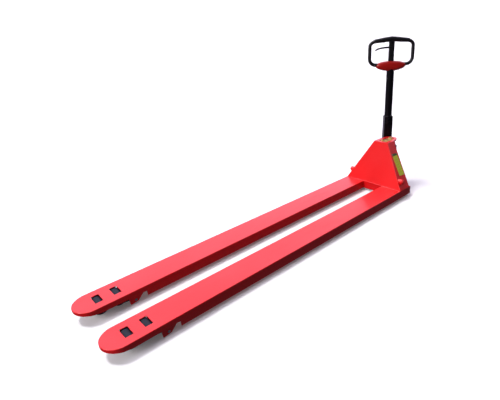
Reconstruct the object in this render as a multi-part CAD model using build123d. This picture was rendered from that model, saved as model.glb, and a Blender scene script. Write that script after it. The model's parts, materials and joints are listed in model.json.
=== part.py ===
from build123d import *
from math import asin, atan2, cos, degrees, hypot, pi, radians, sin
import os

# Long-fork hand pallet truck, in millimetres.
# Working frame: king-pin axis at x = 0, fork tips towards +X, +Z up, floor at z = 0.
# Everything is moved at the end so the origin is the bottom centre of the whole truck.
# The steering group is built straight ahead and then turned by REST_STEER.

# ---- overall sizes ----
OVERALL_WIDTH = 550.0
FORK_WIDTH = 180.0
FORK_LENGTH = 2400.0
FORK_TOP = 85.0
LIFT = 115.0
HANDLE_TOP_BAR = 1231.0
REST_STEER = 50.0
LAYER = 0.3
RUN = 0.05

# ---- fork channels ----
SHEET = 5.0
SKIRT_BOTTOM = 20.0
HEEL_X = 84.0
HEEL_LENGTH = 154.0
FRONT_SKIRT_BOTTOM = 50.0
FRONT_SKIRT_LENGTH = 368.0
NOSE_BOTTOM = 67.0
NOSE_SLOPE_LENGTH = 120.0
TOE_GROOVE = 0.5
RIB_BOTTOM = 68.0
RIB_LENGTH = 8.0
RIB_PITCH = 400.0
RIB_COUNT = 5
WINDOW_LENGTH = 42.0
WINDOW_WIDTH = 76.0
HEEL_SLOT_START = 140.0
HEEL_SLOT_WIDTH = 44.0

# ---- hood and head ----
HEAD_TOP = 431.0
HEAD_HALF_WIDTH = 67.0
HEAD_THICK = 8.0
HEAD_RADIUS = 54.0
HEAD_SLOT_HALF = 38.0
HEAD_SLOT_FRONT = 118.0
FRONT_LEAN = 0.28
SIDE_REAR_BOTTOM = 104.0
SIDE_REAR_LEAN = 0.155
PLATE = 5.0
SADDLE_THICK = 10.0
MEMBER_THICK = 8.0
LABEL_WIDTH = 66.0
LABEL_HEIGHT = 192.0
LABEL_THICK = 1.2
LABEL_Z = 264.0
LABEL_TURN = 5.0

# ---- load rollers and bogies ----
ROLLER_RADIUS = 40.0
ROLLER_WIDTH = 70.0
ROLLER_FRONT_FROM_TIP = 128.6
ROLLER_SPACING = 101.2
ROLLER_HUB_RADIUS = 27.0
ROLLER_AXLE_RADIUS = 9.0
BOGIE_PLATE = 6.0
BOGIE_END_RADIUS = 16.0
BOGIE_PIN_RADIUS = 8.0
SIDE_PLAY = 1.5
FRAME_PLATE = 6.0
FRAME_PIVOT_FROM_TIP = 300.0
FRAME_PIVOT_Z = 24.0
FRAME_PIN_RADIUS = 8.0
FRAME_TUBE_RADIUS = 13.0
FRAME_ARM = 42.0
FRAME_ARM_RADIUS = 10.0
ROD_PEG_RADIUS = 7.0
EAR_THICK = 5.5

# ---- lift rocker and push rods ----
SHAFT_X = 192.0
SHAFT_Z = 148.0
SHAFT_RADIUS = 14.0
SHAFT_HALF = 272.0
ROCKER_TUBE_RADIUS = 20.0
BOSS_RADIUS = 21.0
BOSS_INNER_Y = 200.0
BOSS_OUTER_Y = 266.0
CLAW_ARM_Y = 62.0
CLAW_ARM_THICK = 12.0
TRUNNION_RADIUS = 9.0
TRUNNION_SIDE_CLEAR = 1.0
ROD_PIN_RADIUS = 8.0
ROD_THICK = 14.0
ROD_BOTTOM = 42.0
ROD_TOP = 64.0
CLEVIS_PLATE = 6.0
ROD_EYE_RADIUS = 13.0
PEG_SIDE_CLEAR = 0.8

# ---- pump unit and steering ----
WHEEL_RADIUS = 90.0
WHEEL_WIDTH = 50.0
WHEEL_INNER_T = 34.0
WHEEL_HUB_RADIUS = 68.0
WHEEL_SHOULDER = 7.0
AXLE_RADIUS = 10.0
RAM_RADIUS = 17.5
RAM_BOTTOM = 120.0
CYLINDER_RADIUS = 38.0
BASE_HALF_T = 30.0
BASE_HALF_R = 40.0
BASE_BOTTOM = 60.0
BASE_TOP = 194.0
RING_HEIGHT = 28.0
RING_OUTER = 50.0
RESERVOIR_RADIUS = 58.0
RESERVOIR_BOTTOM = 323.0
RESERVOIR_TOP = 372.0
PUMP_AXIS_R = 146.0
PLUNGER_RADIUS = 12.5
TOWER_RADIUS = 20.0
TOWER_TOP = 235.0
SLEEVE_OUTER = 25.0
SLEEVE_BOTTOM = 182.0
SLEEVE_LOWEST = 125.0

# ---- handle ----
PIVOT_R = 104.0
PIVOT_Z = 300.0
PIVOT_PIN_RADIUS = 9.0
LUG_HALF_T = 28.0
LUG_RADIUS = 20.0
CHEEK_INNER = 30.0
CHEEK_THICK = 8.0
PRESS_REACH = 45.0
PRESS_RADIUS = 15.0
PRESS_GAP = 0.6
YOKE_BLOCK_BOTTOM = 396.0
YOKE_TOP = 602.0
YOKE_TOP_HALF_T = 36.0
YOKE_HALF_R = 25.0
TUBE_RADIUS = 31.5
TUBE_WALL = 3.0
SOCKET_WALL = 4.0
SOCKET_DEPTH = 60.0
TUBE_TOP = 1026.0
LOOP_HALF_WIDTH = 180.0
LOOP_SHOULDER_DROP = 18.0
LOOP_BOTTOM = 1032.0
LOOP_CORNER = 52.0
LOOP_SECTION = 14.5
CROWN_RADIUS = 19.5
CROWN_HALF = 112.0
POST_HALF_T = 22.5
POST_HALF_R = 12.0
GUARD_HALF_T = 130.0
GUARD_HALF_Z = 41.0
GUARD_DROP = 11.0
GUARD_HALF_R = 18.0
LEVER_PIVOT_Z = 1166.0
LEVER_LENGTH = 112.0

# ---- derived positions ----
FORK_Y = (OVERALL_WIDTH - FORK_WIDTH) / 2.0
INNER_Y = OVERALL_WIDTH / 2.0 - FORK_WIDTH
HALF_FORK = FORK_WIDTH / 2.0
PLATE_BASE_X = HEEL_X + HEEL_LENGTH
TIP_X = PLATE_BASE_X + FORK_LENGTH
HOOD_HEIGHT = HEAD_TOP - FORK_TOP
SIDE_LEAN = (OVERALL_WIDTH / 2.0 - HEAD_HALF_WIDTH) / HOOD_HEIGHT
HEAD_FRONT_X = PLATE_BASE_X - FRONT_LEAN * HOOD_HEIGHT
SIDE_REAR_TOP = SIDE_REAR_BOTTOM - SIDE_REAR_LEAN * HOOD_HEIGHT
ROLLER_FRONT_X = TIP_X - ROLLER_FRONT_FROM_TIP
BOGIE_X = ROLLER_FRONT_X - ROLLER_SPACING / 2.0
BOGIE_INNER = ROLLER_WIDTH / 2.0 + SIDE_PLAY
FRAME_INNER = BOGIE_INNER + BOGIE_PLATE + 1.0
FRAME_OUTER = FRAME_INNER + FRAME_PLATE
FRAME_X = TIP_X - FRAME_PIVOT_FROM_TIP
EAR_INNER = HALF_FORK - SHEET - EAR_THICK
ARM_X = BOGIE_X - FRAME_X
ARM_Z = ROLLER_RADIUS - FRAME_PIVOT_Z
ARM_LENGTH = hypot(ARM_X, ARM_Z)
FRAME_SWING = asin(ARM_Z / ARM_LENGTH) - asin((ARM_Z - LIFT) / ARM_LENGTH)
ROCKER_HALF = atan2(LIFT / 2.0, SHAFT_X)
ROD_STROKE_HALF = FRAME_ARM * sin(FRAME_SWING / 2.0)
ROCKER_LEVER = ROD_STROKE_HALF / sin(ROCKER_HALF)
TRUNNION_Z = SHAFT_Z + LIFT / 2.0
ROD_PIN_X = SHAFT_X - ROD_STROKE_HALF
ROD_PIN_Z = SHAFT_Z - ROCKER_LEVER * cos(ROCKER_HALF)
PEG_X = FRAME_X - ROD_STROKE_HALF
PEG_Z = FRAME_PIVOT_Z + FRAME_ARM * cos(FRAME_SWING / 2.0)
PRESS_ANGLE = radians(30.0)
PRESS_X = -(PIVOT_R + PRESS_REACH * cos(PRESS_ANGLE))
PRESS_Z = PIVOT_Z + PRESS_REACH * sin(PRESS_ANGLE)
SLEEVE_TOP = PRESS_Z - PRESS_RADIUS - PRESS_GAP
SADDLE_TOP = HEAD_TOP - HEAD_THICK


def block(x0, x1, y0, y1, z0, z1):
    """Box given by its limits."""
    size = Box(abs(x1 - x0), abs(y1 - y0), abs(z1 - z0))
    return Pos((x0 + x1) / 2, (y0 + y1) / 2, (z0 + z1) / 2) * size


def post(x, y, radius, z0, z1):
    """Upright round bar."""
    return Pos(x, y, (z0 + z1) / 2) * Cylinder(radius, z1 - z0)


def bar_y(x, z, radius, y0, y1):
    """Round bar lying along Y."""
    return Pos(x, (y0 + y1) / 2, z) * Rot(90, 0, 0) * Cylinder(radius, y1 - y0)


def bar_x(y, z, radius, x0, x1):
    """Round bar lying along X."""
    return Pos((x0 + x1) / 2, y, z) * Rot(0, 90, 0) * Cylinder(radius, x1 - x0)


def plate_xz(points, y0, y1):
    """Flat plate with its outline in the XZ plane, between two Y values."""
    plane = Plane(origin=(0, y1, 0), x_dir=(1, 0, 0), z_dir=(0, -1, 0))
    return extrude(plane * Polygon(*points, align=None), y1 - y0, dir=(0, -1, 0))


def plate_yz(points, x0, x1):
    """Flat plate with its outline in the YZ plane, between two X values."""
    plane = Plane(origin=(x0, 0, 0), x_dir=(0, 1, 0), z_dir=(1, 0, 0))
    return extrude(plane * Polygon(*points, align=None), x1 - x0, dir=(1, 0, 0))


def link(a, ra, b, rb, y0, y1):
    """Link plate in the XZ plane: two round ends joined by their outer tangents."""
    dx, dz = b[0] - a[0], b[1] - a[1]
    along = atan2(dz, dx)
    spread = asin((ra - rb) / hypot(dx, dz))
    up = along + pi / 2 - spread
    low = along - pi / 2 + spread
    points = [
        (a[0] + ra * cos(up), a[1] + ra * sin(up)),
        (b[0] + rb * cos(up), b[1] + rb * sin(up)),
        (b[0] + rb * cos(low), b[1] + rb * sin(low)),
        (a[0] + ra * cos(low), a[1] + ra * sin(low)),
    ]
    body = plate_xz(points, y0, y1)
    return body + bar_y(a[0], a[1], ra, y0, y1) + bar_y(b[0], b[1], rb, y0, y1)


def both(shape):
    """A shape on the left (+Y) together with its mirror image on the right."""
    return shape + mirror(shape, about=Plane.XZ)


def pair(shape):
    """The left piece and its mirror image as two separate solids."""
    return Compound(children=[shape, mirror(shape, about=Plane.XZ)])


def steered(shape):
    """Turn a straight-ahead steering piece to its resting angle."""
    return Rot(0, 0, REST_STEER) * shape


def front_x(z):
    """Outer face of the leaning front plate at a height."""
    return PLATE_BASE_X - FRONT_LEAN * (z - FORK_TOP)


def side_y(z):
    """Outer face of the leaning side plate at a height."""
    return OVERALL_WIDTH / 2.0 - SIDE_LEAN * (z - FORK_TOP)


def rear_x(z):
    """Rear edge of the side plate at a height."""
    return SIDE_REAR_BOTTOM - SIDE_REAR_LEAN * (z - FORK_TOP)


# ---- chassis ----
def fork_prism(inset, z0, z1):
    """Fork plan outline with a round tip, drawn in by inset."""
    half = HALF_FORK - inset
    centre_x = TIP_X - HALF_FORK
    return block(HEEL_X + inset, centre_x, FORK_Y - half, FORK_Y + half, z0, z1) + post(
        centre_x, FORK_Y, half, z0, z1
    )


def make_fork():
    """Folded channel, shallow from the rollers to the round nose, grooved at the hood's toe weld."""
    shell = fork_prism(0, SKIRT_BOTTOM, FORK_TOP)
    shell = fillet(shell.faces().sort_by(Axis.Z)[-1].edges(), 3.0)
    shell -= fork_prism(SHEET, SKIRT_BOTTOM - 1, FORK_TOP - SHEET)
    nose = [
        (TIP_X - FRONT_SKIRT_LENGTH, SKIRT_BOTTOM - 1),
        (TIP_X - FRONT_SKIRT_LENGTH, FRONT_SKIRT_BOTTOM),
        (TIP_X - NOSE_SLOPE_LENGTH, FRONT_SKIRT_BOTTOM),
        (TIP_X + 1, NOSE_BOTTOM),
        (TIP_X + 1, SKIRT_BOTTOM - 1),
    ]
    outer_y = FORK_Y + HALF_FORK + 1
    inner_y = FORK_Y - HALF_FORK - 1
    shell -= plate_xz(nose, inner_y, outer_y)
    toe_x = PLATE_BASE_X + 0.5
    shell -= block(toe_x, toe_x + 1.0, inner_y, outer_y, FORK_TOP - TOE_GROOVE, FORK_TOP + 1)
    for index in range(2):
        x = ROLLER_FRONT_X - index * ROLLER_SPACING
        half_x = WINDOW_LENGTH / 2
        half_y = WINDOW_WIDTH / 2
        shell -= block(x - half_x, x + half_x, FORK_Y - half_y, FORK_Y + half_y, FORK_TOP - 8, FORK_TOP + 1)
    half = HEEL_SLOT_WIDTH / 2
    shell -= block(HEEL_SLOT_START, PLATE_BASE_X - 6, FORK_Y - half, FORK_Y + half, FORK_TOP - 8, FORK_TOP + 1)
    return shell


def make_ribs():
    """Cross ribs under the fork top, above the push rod."""
    half = HALF_FORK - SHEET
    ribs = []
    for index in range(RIB_COUNT):
        x = PLATE_BASE_X + RIB_PITCH * (index + 0.7)
        rib = block(x, x + RIB_LENGTH, FORK_Y - half, FORK_Y + half, RIB_BOTTOM, FORK_TOP - SHEET)
        ribs.append(rib)
        ribs.append(mirror(rib, about=Plane.XZ))
    return Compound(children=ribs)


def make_ears():
    """Hooked ear plates inside both skirts of a fork, bored for the frame pin."""
    outline = [
        (FRAME_X - 46, FORK_TOP - 19),
        (FRAME_X - 46, FRONT_SKIRT_BOTTOM - 4),
        (FRAME_X - 12, 12),
        (FRAME_X + 22, 7),
        (FRAME_X + 30, 6),
        (FRAME_X + 34, 9),
        (FRAME_X + 38, FORK_TOP - 19),
    ]
    ears = []
    for side in (-1, 1):
        near = FORK_Y + side * EAR_INNER
        far = FORK_Y + side * (EAR_INNER + EAR_THICK)
        ear = plate_xz(outline, min(near, far), max(near, far))
        ear -= bar_y(FRAME_X, FRAME_PIVOT_Z, FRAME_PIN_RADIUS, min(near, far) - 1, max(near, far) + 1)
        ears.append(ear)
        ears.append(mirror(ear, about=Plane.XZ))
    return Compound(children=ears)


def make_front_plate():
    """Leaning trapezoid front plate of the hood."""
    base_y = side_y(FORK_TOP) - PLATE
    top_y = side_y(HEAD_TOP) - PLATE
    slab = plate_xz(
        [
            (front_x(FORK_TOP) - PLATE, FORK_TOP),
            (front_x(FORK_TOP), FORK_TOP),
            (front_x(HEAD_TOP), HEAD_TOP),
            (front_x(HEAD_TOP) - PLATE, HEAD_TOP),
        ],
        -OVERALL_WIDTH,
        OVERALL_WIDTH,
    )
    outline = [(-base_y, FORK_TOP), (base_y, FORK_TOP), (top_y, HEAD_TOP), (-top_y, HEAD_TOP)]
    return slab & plate_yz(outline, 0, PLATE_BASE_X + 10)


def make_side_plate():
    """Leaning side plate with a hole for the rocker shaft boss."""
    outer = [
        (side_y(FORK_TOP), FORK_TOP),
        (side_y(HEAD_TOP), HEAD_TOP),
        (side_y(HEAD_TOP) - PLATE, HEAD_TOP),
        (side_y(FORK_TOP) - PLATE, FORK_TOP),
    ]
    slab = plate_yz(outer, 0, PLATE_BASE_X + 10)
    outline = [
        (rear_x(FORK_TOP), FORK_TOP),
        (front_x(FORK_TOP), FORK_TOP),
        (front_x(HEAD_TOP), HEAD_TOP),
        (rear_x(HEAD_TOP) - 12, HEAD_TOP),
        (rear_x(HEAD_TOP) - 12, HEAD_TOP - 14),
        (rear_x(HEAD_TOP - 34), HEAD_TOP - 34),
    ]
    side = slab & plate_xz(outline, 0, OVERALL_WIDTH)
    return side - bar_y(SHAFT_X, SHAFT_Z, BOSS_RADIUS, 0, OVERALL_WIDTH)


def make_head_plate():
    """Horseshoe head plate round the king-pin, between the hood plates."""
    half = HEAD_HALF_WIDTH - PLATE - 5
    slab = block(0, front_x(HEAD_TOP) - PLATE, -half, half, SADDLE_TOP, HEAD_TOP)
    slab += post(0, 0, HEAD_RADIUS, SADDLE_TOP, HEAD_TOP) & block(
        -HEAD_RADIUS, 20, -half, half, SADDLE_TOP, HEAD_TOP
    )
    wing = HEAD_HALF_WIDTH - PLATE
    slab += block(rear_x(HEAD_TOP) - 12, front_x(HEAD_TOP) - PLATE, -wing, wing, SADDLE_TOP, HEAD_TOP)
    slot = block(10, HEAD_SLOT_FRONT, -HEAD_SLOT_HALF, HEAD_SLOT_HALF, SADDLE_TOP - 1, HEAD_TOP + 1)
    slot += post(10, 0, HEAD_SLOT_HALF, SADDLE_TOP - 1, HEAD_TOP + 1)
    return slab - slot


def make_saddle():
    """Saddle plate under the head that bears on the ram."""
    half = HEAD_SLOT_HALF + 12
    saddle = block(0, HEAD_SLOT_FRONT + 14, -half, half, SADDLE_TOP - SADDLE_THICK, SADDLE_TOP)
    saddle += post(0, 0, half, SADDLE_TOP - SADDLE_THICK, SADDLE_TOP)
    for y in (-26, 26):
        saddle += post(86, y, 8, SADDLE_TOP - 1, SADDLE_TOP + 6)
    saddle += block(52, 70, -30, 30, SADDLE_TOP - 1, SADDLE_TOP + 3)
    return saddle - post(0, 0, 12, SADDLE_TOP - SADDLE_THICK - 1, SADDLE_TOP + 1)


def make_bearing_plates():
    """Upright plates inside the hood that carry the rocker tube."""
    y0 = INNER_Y + 8
    outline = [
        (140, FORK_TOP),
        (front_x(FORK_TOP) - PLATE, FORK_TOP),
        (front_x(300) - PLATE, 300),
        (150, 300),
    ]
    plate = plate_xz(outline, y0, y0 + 6)
    plate -= bar_y(SHAFT_X, SHAFT_Z, ROCKER_TUBE_RADIUS + 1.2, y0 - 1, y0 + 7)
    return pair(plate)


def make_bosses():
    """Bearing bosses welded through the side plates."""
    boss = bar_y(SHAFT_X, SHAFT_Z, BOSS_RADIUS, BOSS_INNER_Y, BOSS_OUTER_Y)
    boss = chamfer(boss.faces().sort_by(Axis.Y)[-1].edges(), 3.0)
    boss -= bar_y(SHAFT_X, SHAFT_Z, SHAFT_RADIUS + RUN, BOSS_INNER_Y - 1, BOSS_OUTER_Y + 1)
    return pair(boss)


def make_cross_member():
    """Channel joining the two forks under the front plate."""
    rail = block(PLATE_BASE_X - MEMBER_THICK, PLATE_BASE_X, -INNER_Y, INNER_Y, SKIRT_BOTTOM, FORK_TOP)
    rail += block(PLATE_BASE_X - 56, PLATE_BASE_X, -INNER_Y, INNER_Y, FORK_TOP - 8, FORK_TOP)
    rail += block(PLATE_BASE_X - 40, PLATE_BASE_X, -INNER_Y, INNER_Y, SKIRT_BOTTOM, SKIRT_BOTTOM + 6)
    return rail


def make_label():
    """Blank information plate lying on the left side plate."""
    tilt = degrees(atan2(SIDE_LEAN, 1.0))
    plate = Box(LABEL_WIDTH, LABEL_THICK, LABEL_HEIGHT)
    plate = Rot(0, -LABEL_TURN, 0) * fillet(plate.edges().filter_by(Axis.Y), 5)
    centre_x = (front_x(LABEL_Z) + rear_x(LABEL_Z)) / 2 - 9
    seat = Pos(centre_x, side_y(LABEL_Z), LABEL_Z) * Rot(tilt, 0, 0)
    return seat * Pos(0, LABEL_THICK / 2, 0) * plate


def make_ram():
    """Lift ram standing in the pump bore, necked to enter the saddle."""
    ram = post(0, 0, RAM_RADIUS, RAM_BOTTOM, SADDLE_TOP - SADDLE_THICK)
    return ram + post(0, 0, 12, SADDLE_TOP - SADDLE_THICK - 1, SADDLE_TOP + 10)


def make_ram_nut():
    """Domed hexagon nut that holds the saddle on the ram."""
    nut = extrude(Plane.XY.offset(SADDLE_TOP) * RegularPolygon(19, 6), 12)
    nut = chamfer(nut.faces().sort_by(Axis.Z)[-1].edges(), 2.5)
    nut += post(0, 0, 14, SADDLE_TOP + 8, SADDLE_TOP + 17)
    return nut - post(0, 0, 12, SADDLE_TOP - 1, SADDLE_TOP + 10)


# ---- lift linkage ----
def arm_point(u, v):
    """Point at u along the rocker arm from its shaft and v above the arm line."""
    c = cos(ROCKER_HALF)
    s = sin(ROCKER_HALF)
    return (SHAFT_X - c * u + s * v, SHAFT_Z + s * u + c * v)


def make_rocker():
    """Rocker tube with two open-ended claw arms and two hanging levers."""
    reach = hypot(SHAFT_X, LIFT / 2.0)
    half_slot = TRUNNION_RADIUS + TRUNNION_SIDE_CLEAR
    wall = half_slot + 5.0
    end = reach + 14.0
    upper = [(0, 26), (120, 22), (reach - 26, wall), (end, wall)]
    lower = [(end, -wall), (reach - 26, -wall), (136, -4), (104, -13), (0, -24)]
    outline = [arm_point(u, v) for u, v in upper + lower]
    slot_start = SHAFT_X - 4.0
    slot = [(slot_start, half_slot), (end + 2, half_slot), (end + 2, -half_slot), (slot_start, -half_slot)]
    y0 = CLAW_ARM_Y - CLAW_ARM_THICK / 2
    y1 = CLAW_ARM_Y + CLAW_ARM_THICK / 2
    arm = plate_xz(outline, y0, y1) - plate_xz([arm_point(u, v) for u, v in slot], y0 - 1, y1 + 1)
    corner = arm_point(slot_start, 0)
    arm -= bar_y(corner[0], corner[1], half_slot, y0 - 1, y1 + 1)
    half = ROD_THICK / 2
    lever = link(
        (SHAFT_X, SHAFT_Z),
        ROCKER_TUBE_RADIUS + 1,
        (ROD_PIN_X, ROD_PIN_Z),
        ROD_EYE_RADIUS,
        FORK_Y - half,
        FORK_Y + half,
    )
    lever -= bar_y(ROD_PIN_X, ROD_PIN_Z, ROD_PIN_RADIUS + RUN, 0, OVERALL_WIDTH)
    tube = bar_y(SHAFT_X, SHAFT_Z, ROCKER_TUBE_RADIUS, 0, BOSS_INNER_Y - 1)
    rocker = both(tube + arm + lever)
    return rocker - bar_y(SHAFT_X, SHAFT_Z, SHAFT_RADIUS, -OVERALL_WIDTH, OVERALL_WIDTH)


def make_cross_shaft():
    """Rocker shaft through both bosses, chamfered at its ends."""
    shaft = bar_y(SHAFT_X, SHAFT_Z, SHAFT_RADIUS, -SHAFT_HALF, SHAFT_HALF)
    shaft = chamfer(shaft.edges().filter_by(GeomType.CIRCLE), 2.0)
    return shaft


def make_push_rod():
    """Push rod: clevis with a welded pin at the rocker, open claw at the frame peg."""
    half = ROD_THICK / 2
    y0 = FORK_Y - half
    y1 = FORK_Y + half
    neck = ROD_BOTTOM + 4
    top = FORK_TOP - SHEET - 3
    slot_half = ROD_PEG_RADIUS + PEG_SIDE_CLEAR
    wall = slot_half + 7
    outline = [
        (ROD_PIN_X + 30, ROD_BOTTOM),
        (PEG_X - 90, ROD_BOTTOM),
        (PEG_X - 70, neck),
        (PEG_X + wall, neck),
        (PEG_X + wall, top),
        (PEG_X - wall, top),
        (PEG_X - wall, ROD_TOP),
        (ROD_PIN_X + 30, ROD_TOP),
    ]
    rod = plate_xz(outline, y0, y1)
    rod -= block(PEG_X - slot_half, PEG_X + slot_half, y0 - 1, y1 + 1, PEG_Z, top + 1)
    rod -= bar_y(PEG_X, PEG_Z, slot_half, y0 - 1, y1 + 1)
    tongue = (ROD_PIN_X + 40, (ROD_BOTTOM + ROD_TOP) / 2)
    for side in (-1, 1):
        a = FORK_Y + side * (half + LAYER)
        b = FORK_Y + side * (half + LAYER + CLEVIS_PLATE)
        rod += link((ROD_PIN_X, ROD_PIN_Z), ROD_EYE_RADIUS, tongue, 11, min(a, b), max(a, b))
        rod += bar_y(tongue[0], tongue[1], 8, min(a, FORK_Y), max(a, FORK_Y))
    reach = half + LAYER + CLEVIS_PLATE + 2
    return rod + bar_y(ROD_PIN_X, ROD_PIN_Z, ROD_PIN_RADIUS, FORK_Y - reach, FORK_Y + reach)


def make_wheel_frame():
    """Swinging frame: pivot tube, two arms to the bogie and two short arms to the peg."""
    tube_half = EAR_INNER - 1
    frame = bar_y(FRAME_X, FRAME_PIVOT_Z, FRAME_TUBE_RADIUS, FORK_Y - tube_half, FORK_Y + tube_half)
    pivot = (FRAME_X, FRAME_PIVOT_Z)
    for side in (-1, 1):
        near = FORK_Y + side * FRAME_INNER
        far = FORK_Y + side * FRAME_OUTER
        y0 = min(near, far)
        y1 = max(near, far)
        frame += link(pivot, 15, (BOGIE_X, ROLLER_RADIUS), BOGIE_END_RADIUS, y0, y1)
        frame += link(pivot, 15, (PEG_X, PEG_Z), FRAME_ARM_RADIUS, y0, y1)
    frame += bar_y(PEG_X, PEG_Z, ROD_PEG_RADIUS, FORK_Y - FRAME_OUTER, FORK_Y + FRAME_OUTER)
    frame -= bar_y(FRAME_X, FRAME_PIVOT_Z, FRAME_PIN_RADIUS + RUN, 0, OVERALL_WIDTH)
    return frame - bar_y(BOGIE_X, ROLLER_RADIUS, BOGIE_PIN_RADIUS, 0, OVERALL_WIDTH)


def make_bogie():
    """Pair of bogie plates with the two roller axles pressed through them."""
    front = (ROLLER_FRONT_X, ROLLER_RADIUS)
    rear = (ROLLER_FRONT_X - ROLLER_SPACING, ROLLER_RADIUS)
    axle_half = BOGIE_INNER + BOGIE_PLATE
    bogie = None
    for side in (-1, 1):
        near = FORK_Y + side * BOGIE_INNER
        far = FORK_Y + side * axle_half
        plate = link(front, BOGIE_END_RADIUS, rear, BOGIE_END_RADIUS - 0.001, min(near, far), max(near, far))
        bogie = plate if bogie is None else bogie + plate
    for x, z in (front, rear):
        bogie += bar_y(x, z, ROLLER_AXLE_RADIUS, FORK_Y - axle_half, FORK_Y + axle_half)
    return bogie - bar_y(BOGIE_X, ROLLER_RADIUS, BOGIE_PIN_RADIUS + RUN, 0, OVERALL_WIDTH)


def make_bogie_pin():
    """Pin that hangs the bogie in its swinging frame."""
    return bar_y(BOGIE_X, ROLLER_RADIUS, BOGIE_PIN_RADIUS, FORK_Y - FRAME_OUTER - 2, FORK_Y + FRAME_OUTER + 2)


def make_frame_pin():
    """Pin across the fork that carries the swinging frame."""
    reach = EAR_INNER + EAR_THICK
    return pair(bar_y(FRAME_X, FRAME_PIVOT_Z, FRAME_PIN_RADIUS, FORK_Y - reach, FORK_Y + reach))


def make_roller_hub(x):
    """Steel hub of a load roller."""
    half = ROLLER_WIDTH / 2
    hub = bar_y(x, ROLLER_RADIUS, ROLLER_HUB_RADIUS, FORK_Y - half, FORK_Y + half)
    for side in (-1, 1):
        hub -= bar_y(x, ROLLER_RADIUS, 21, FORK_Y + side * half - 3, FORK_Y + side * half + 3)
    return hub - bar_y(x, ROLLER_RADIUS, ROLLER_AXLE_RADIUS + RUN, 0, OVERALL_WIDTH)


def make_roller_tyre(x):
    """Polyurethane tyre of a load roller."""
    half = ROLLER_WIDTH / 2
    tyre = bar_y(x, ROLLER_RADIUS, ROLLER_RADIUS, FORK_Y - half, FORK_Y + half)
    tyre = fillet(tyre.edges().filter_by(GeomType.CIRCLE), 4)
    return tyre - bar_y(x, ROLLER_RADIUS, ROLLER_HUB_RADIUS, 0, OVERALL_WIDTH)


# ---- carrier ring ----
def make_carrier():
    """Ring round the pump cylinder with a trunnion on each side for the rocker claws."""
    z0 = BASE_TOP + LAYER
    ring = post(0, 0, RING_OUTER, z0, z0 + RING_HEIGHT)
    outer = CLAW_ARM_Y + CLAW_ARM_THICK / 2 + 1.5
    ring += bar_y(0, TRUNNION_Z, TRUNNION_RADIUS, -outer - 4, outer + 4)
    for side in (-1, 1):
        ring += bar_y(0, TRUNNION_Z, 13, min(side * outer, side * (outer + 4)), max(side * outer, side * (outer + 4)))
    return ring - post(0, 0, CYLINDER_RADIUS + RUN, z0 - 30, z0 + RING_HEIGHT + 30)


# ---- pump unit, built straight ahead ----
def make_pump_base():
    """Base casting: web between the wheels, axle boss and plunger tower."""
    base = block(-BASE_HALF_R, BASE_HALF_R, -BASE_HALF_T, BASE_HALF_T, BASE_BOTTOM, BASE_TOP)
    base = fillet(base.edges().filter_by(Axis.Z), 10)
    base += block(-PUMP_AXIS_R, 0, -14, 14, BASE_BOTTOM + 6, 178)
    base -= post(-PUMP_AXIS_R, 0, SLEEVE_OUTER + 2, SLEEVE_LOWEST, TOWER_TOP)
    base += post(-PUMP_AXIS_R, 0, 26, BASE_BOTTOM, 120)
    base += post(-PUMP_AXIS_R, 0, TOWER_RADIUS, BASE_BOTTOM, TOWER_TOP)
    base += bar_y(0, WHEEL_RADIUS, 24, -WHEEL_INNER_T + 2, WHEEL_INNER_T - 2)
    base -= bar_y(0, WHEEL_RADIUS, AXLE_RADIUS, -OVERALL_WIDTH, OVERALL_WIDTH)
    base -= post(0, 0, RAM_RADIUS + RUN, RAM_BOTTOM - 12, BASE_TOP + 1)
    return base - post(-PUMP_AXIS_R, 0, PLUNGER_RADIUS + RUN, 84, TOWER_TOP + 1)


def make_pump_cylinder():
    """Main cylinder with the two handle lugs."""
    body = post(0, 0, CYLINDER_RADIUS, BASE_TOP, RESERVOIR_TOP)
    pivot = (-PIVOT_R, PIVOT_Z)
    lug = plate_xz(
        [
            (-20, 250),
            (-PIVOT_R + 2, PIVOT_Z - LUG_RADIUS),
            (-PIVOT_R, PIVOT_Z + LUG_RADIUS),
            (-20, PIVOT_Z + LUG_RADIUS),
        ],
        -LUG_HALF_T,
        LUG_HALF_T,
    )
    lug += bar_y(pivot[0], pivot[1], LUG_RADIUS, -LUG_HALF_T, LUG_HALF_T)
    lug -= block(-PIVOT_R - 30, -RESERVOIR_RADIUS, -9, 9, 240, 330)
    lug -= post(-PUMP_AXIS_R, 0, SLEEVE_OUTER + 1.5, 240, 330)
    body += lug
    body -= bar_y(pivot[0], pivot[1], PIVOT_PIN_RADIUS, -OVERALL_WIDTH, OVERALL_WIDTH)
    return body - post(0, 0, RAM_RADIUS + RUN, BASE_TOP - 1, RESERVOIR_TOP + 1)


def make_reservoir():
    """Oil reservoir collar round the top of the cylinder."""
    tank = post(0, 0, RESERVOIR_RADIUS, RESERVOIR_BOTTOM, RESERVOIR_TOP)
    tank = fillet(tank.edges().filter_by(GeomType.CIRCLE), 8)
    tank += post(38, 26, 7, RESERVOIR_TOP - 4, RESERVOIR_TOP + 7)
    return tank - post(0, 0, CYLINDER_RADIUS, RESERVOIR_BOTTOM - 1, RESERVOIR_TOP + 20)


def make_gland():
    """Gland ring that wipes the ram."""
    gland = post(0, 0, 30, RESERVOIR_TOP, RESERVOIR_TOP + 9)
    gland = chamfer(gland.faces().sort_by(Axis.Z)[-1].edges(), 2.5)
    return gland - post(0, 0, RAM_RADIUS + RUN, RESERVOIR_TOP - 1, RESERVOIR_TOP + 10)


def make_collar():
    """Snap ring that keeps the carrier ring down."""
    z0 = BASE_TOP + RING_HEIGHT + 2 * LAYER
    return post(0, 0, CYLINDER_RADIUS + 8, z0, z0 + 4) - post(0, 0, CYLINDER_RADIUS, z0 - 1, z0 + 5)


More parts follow.
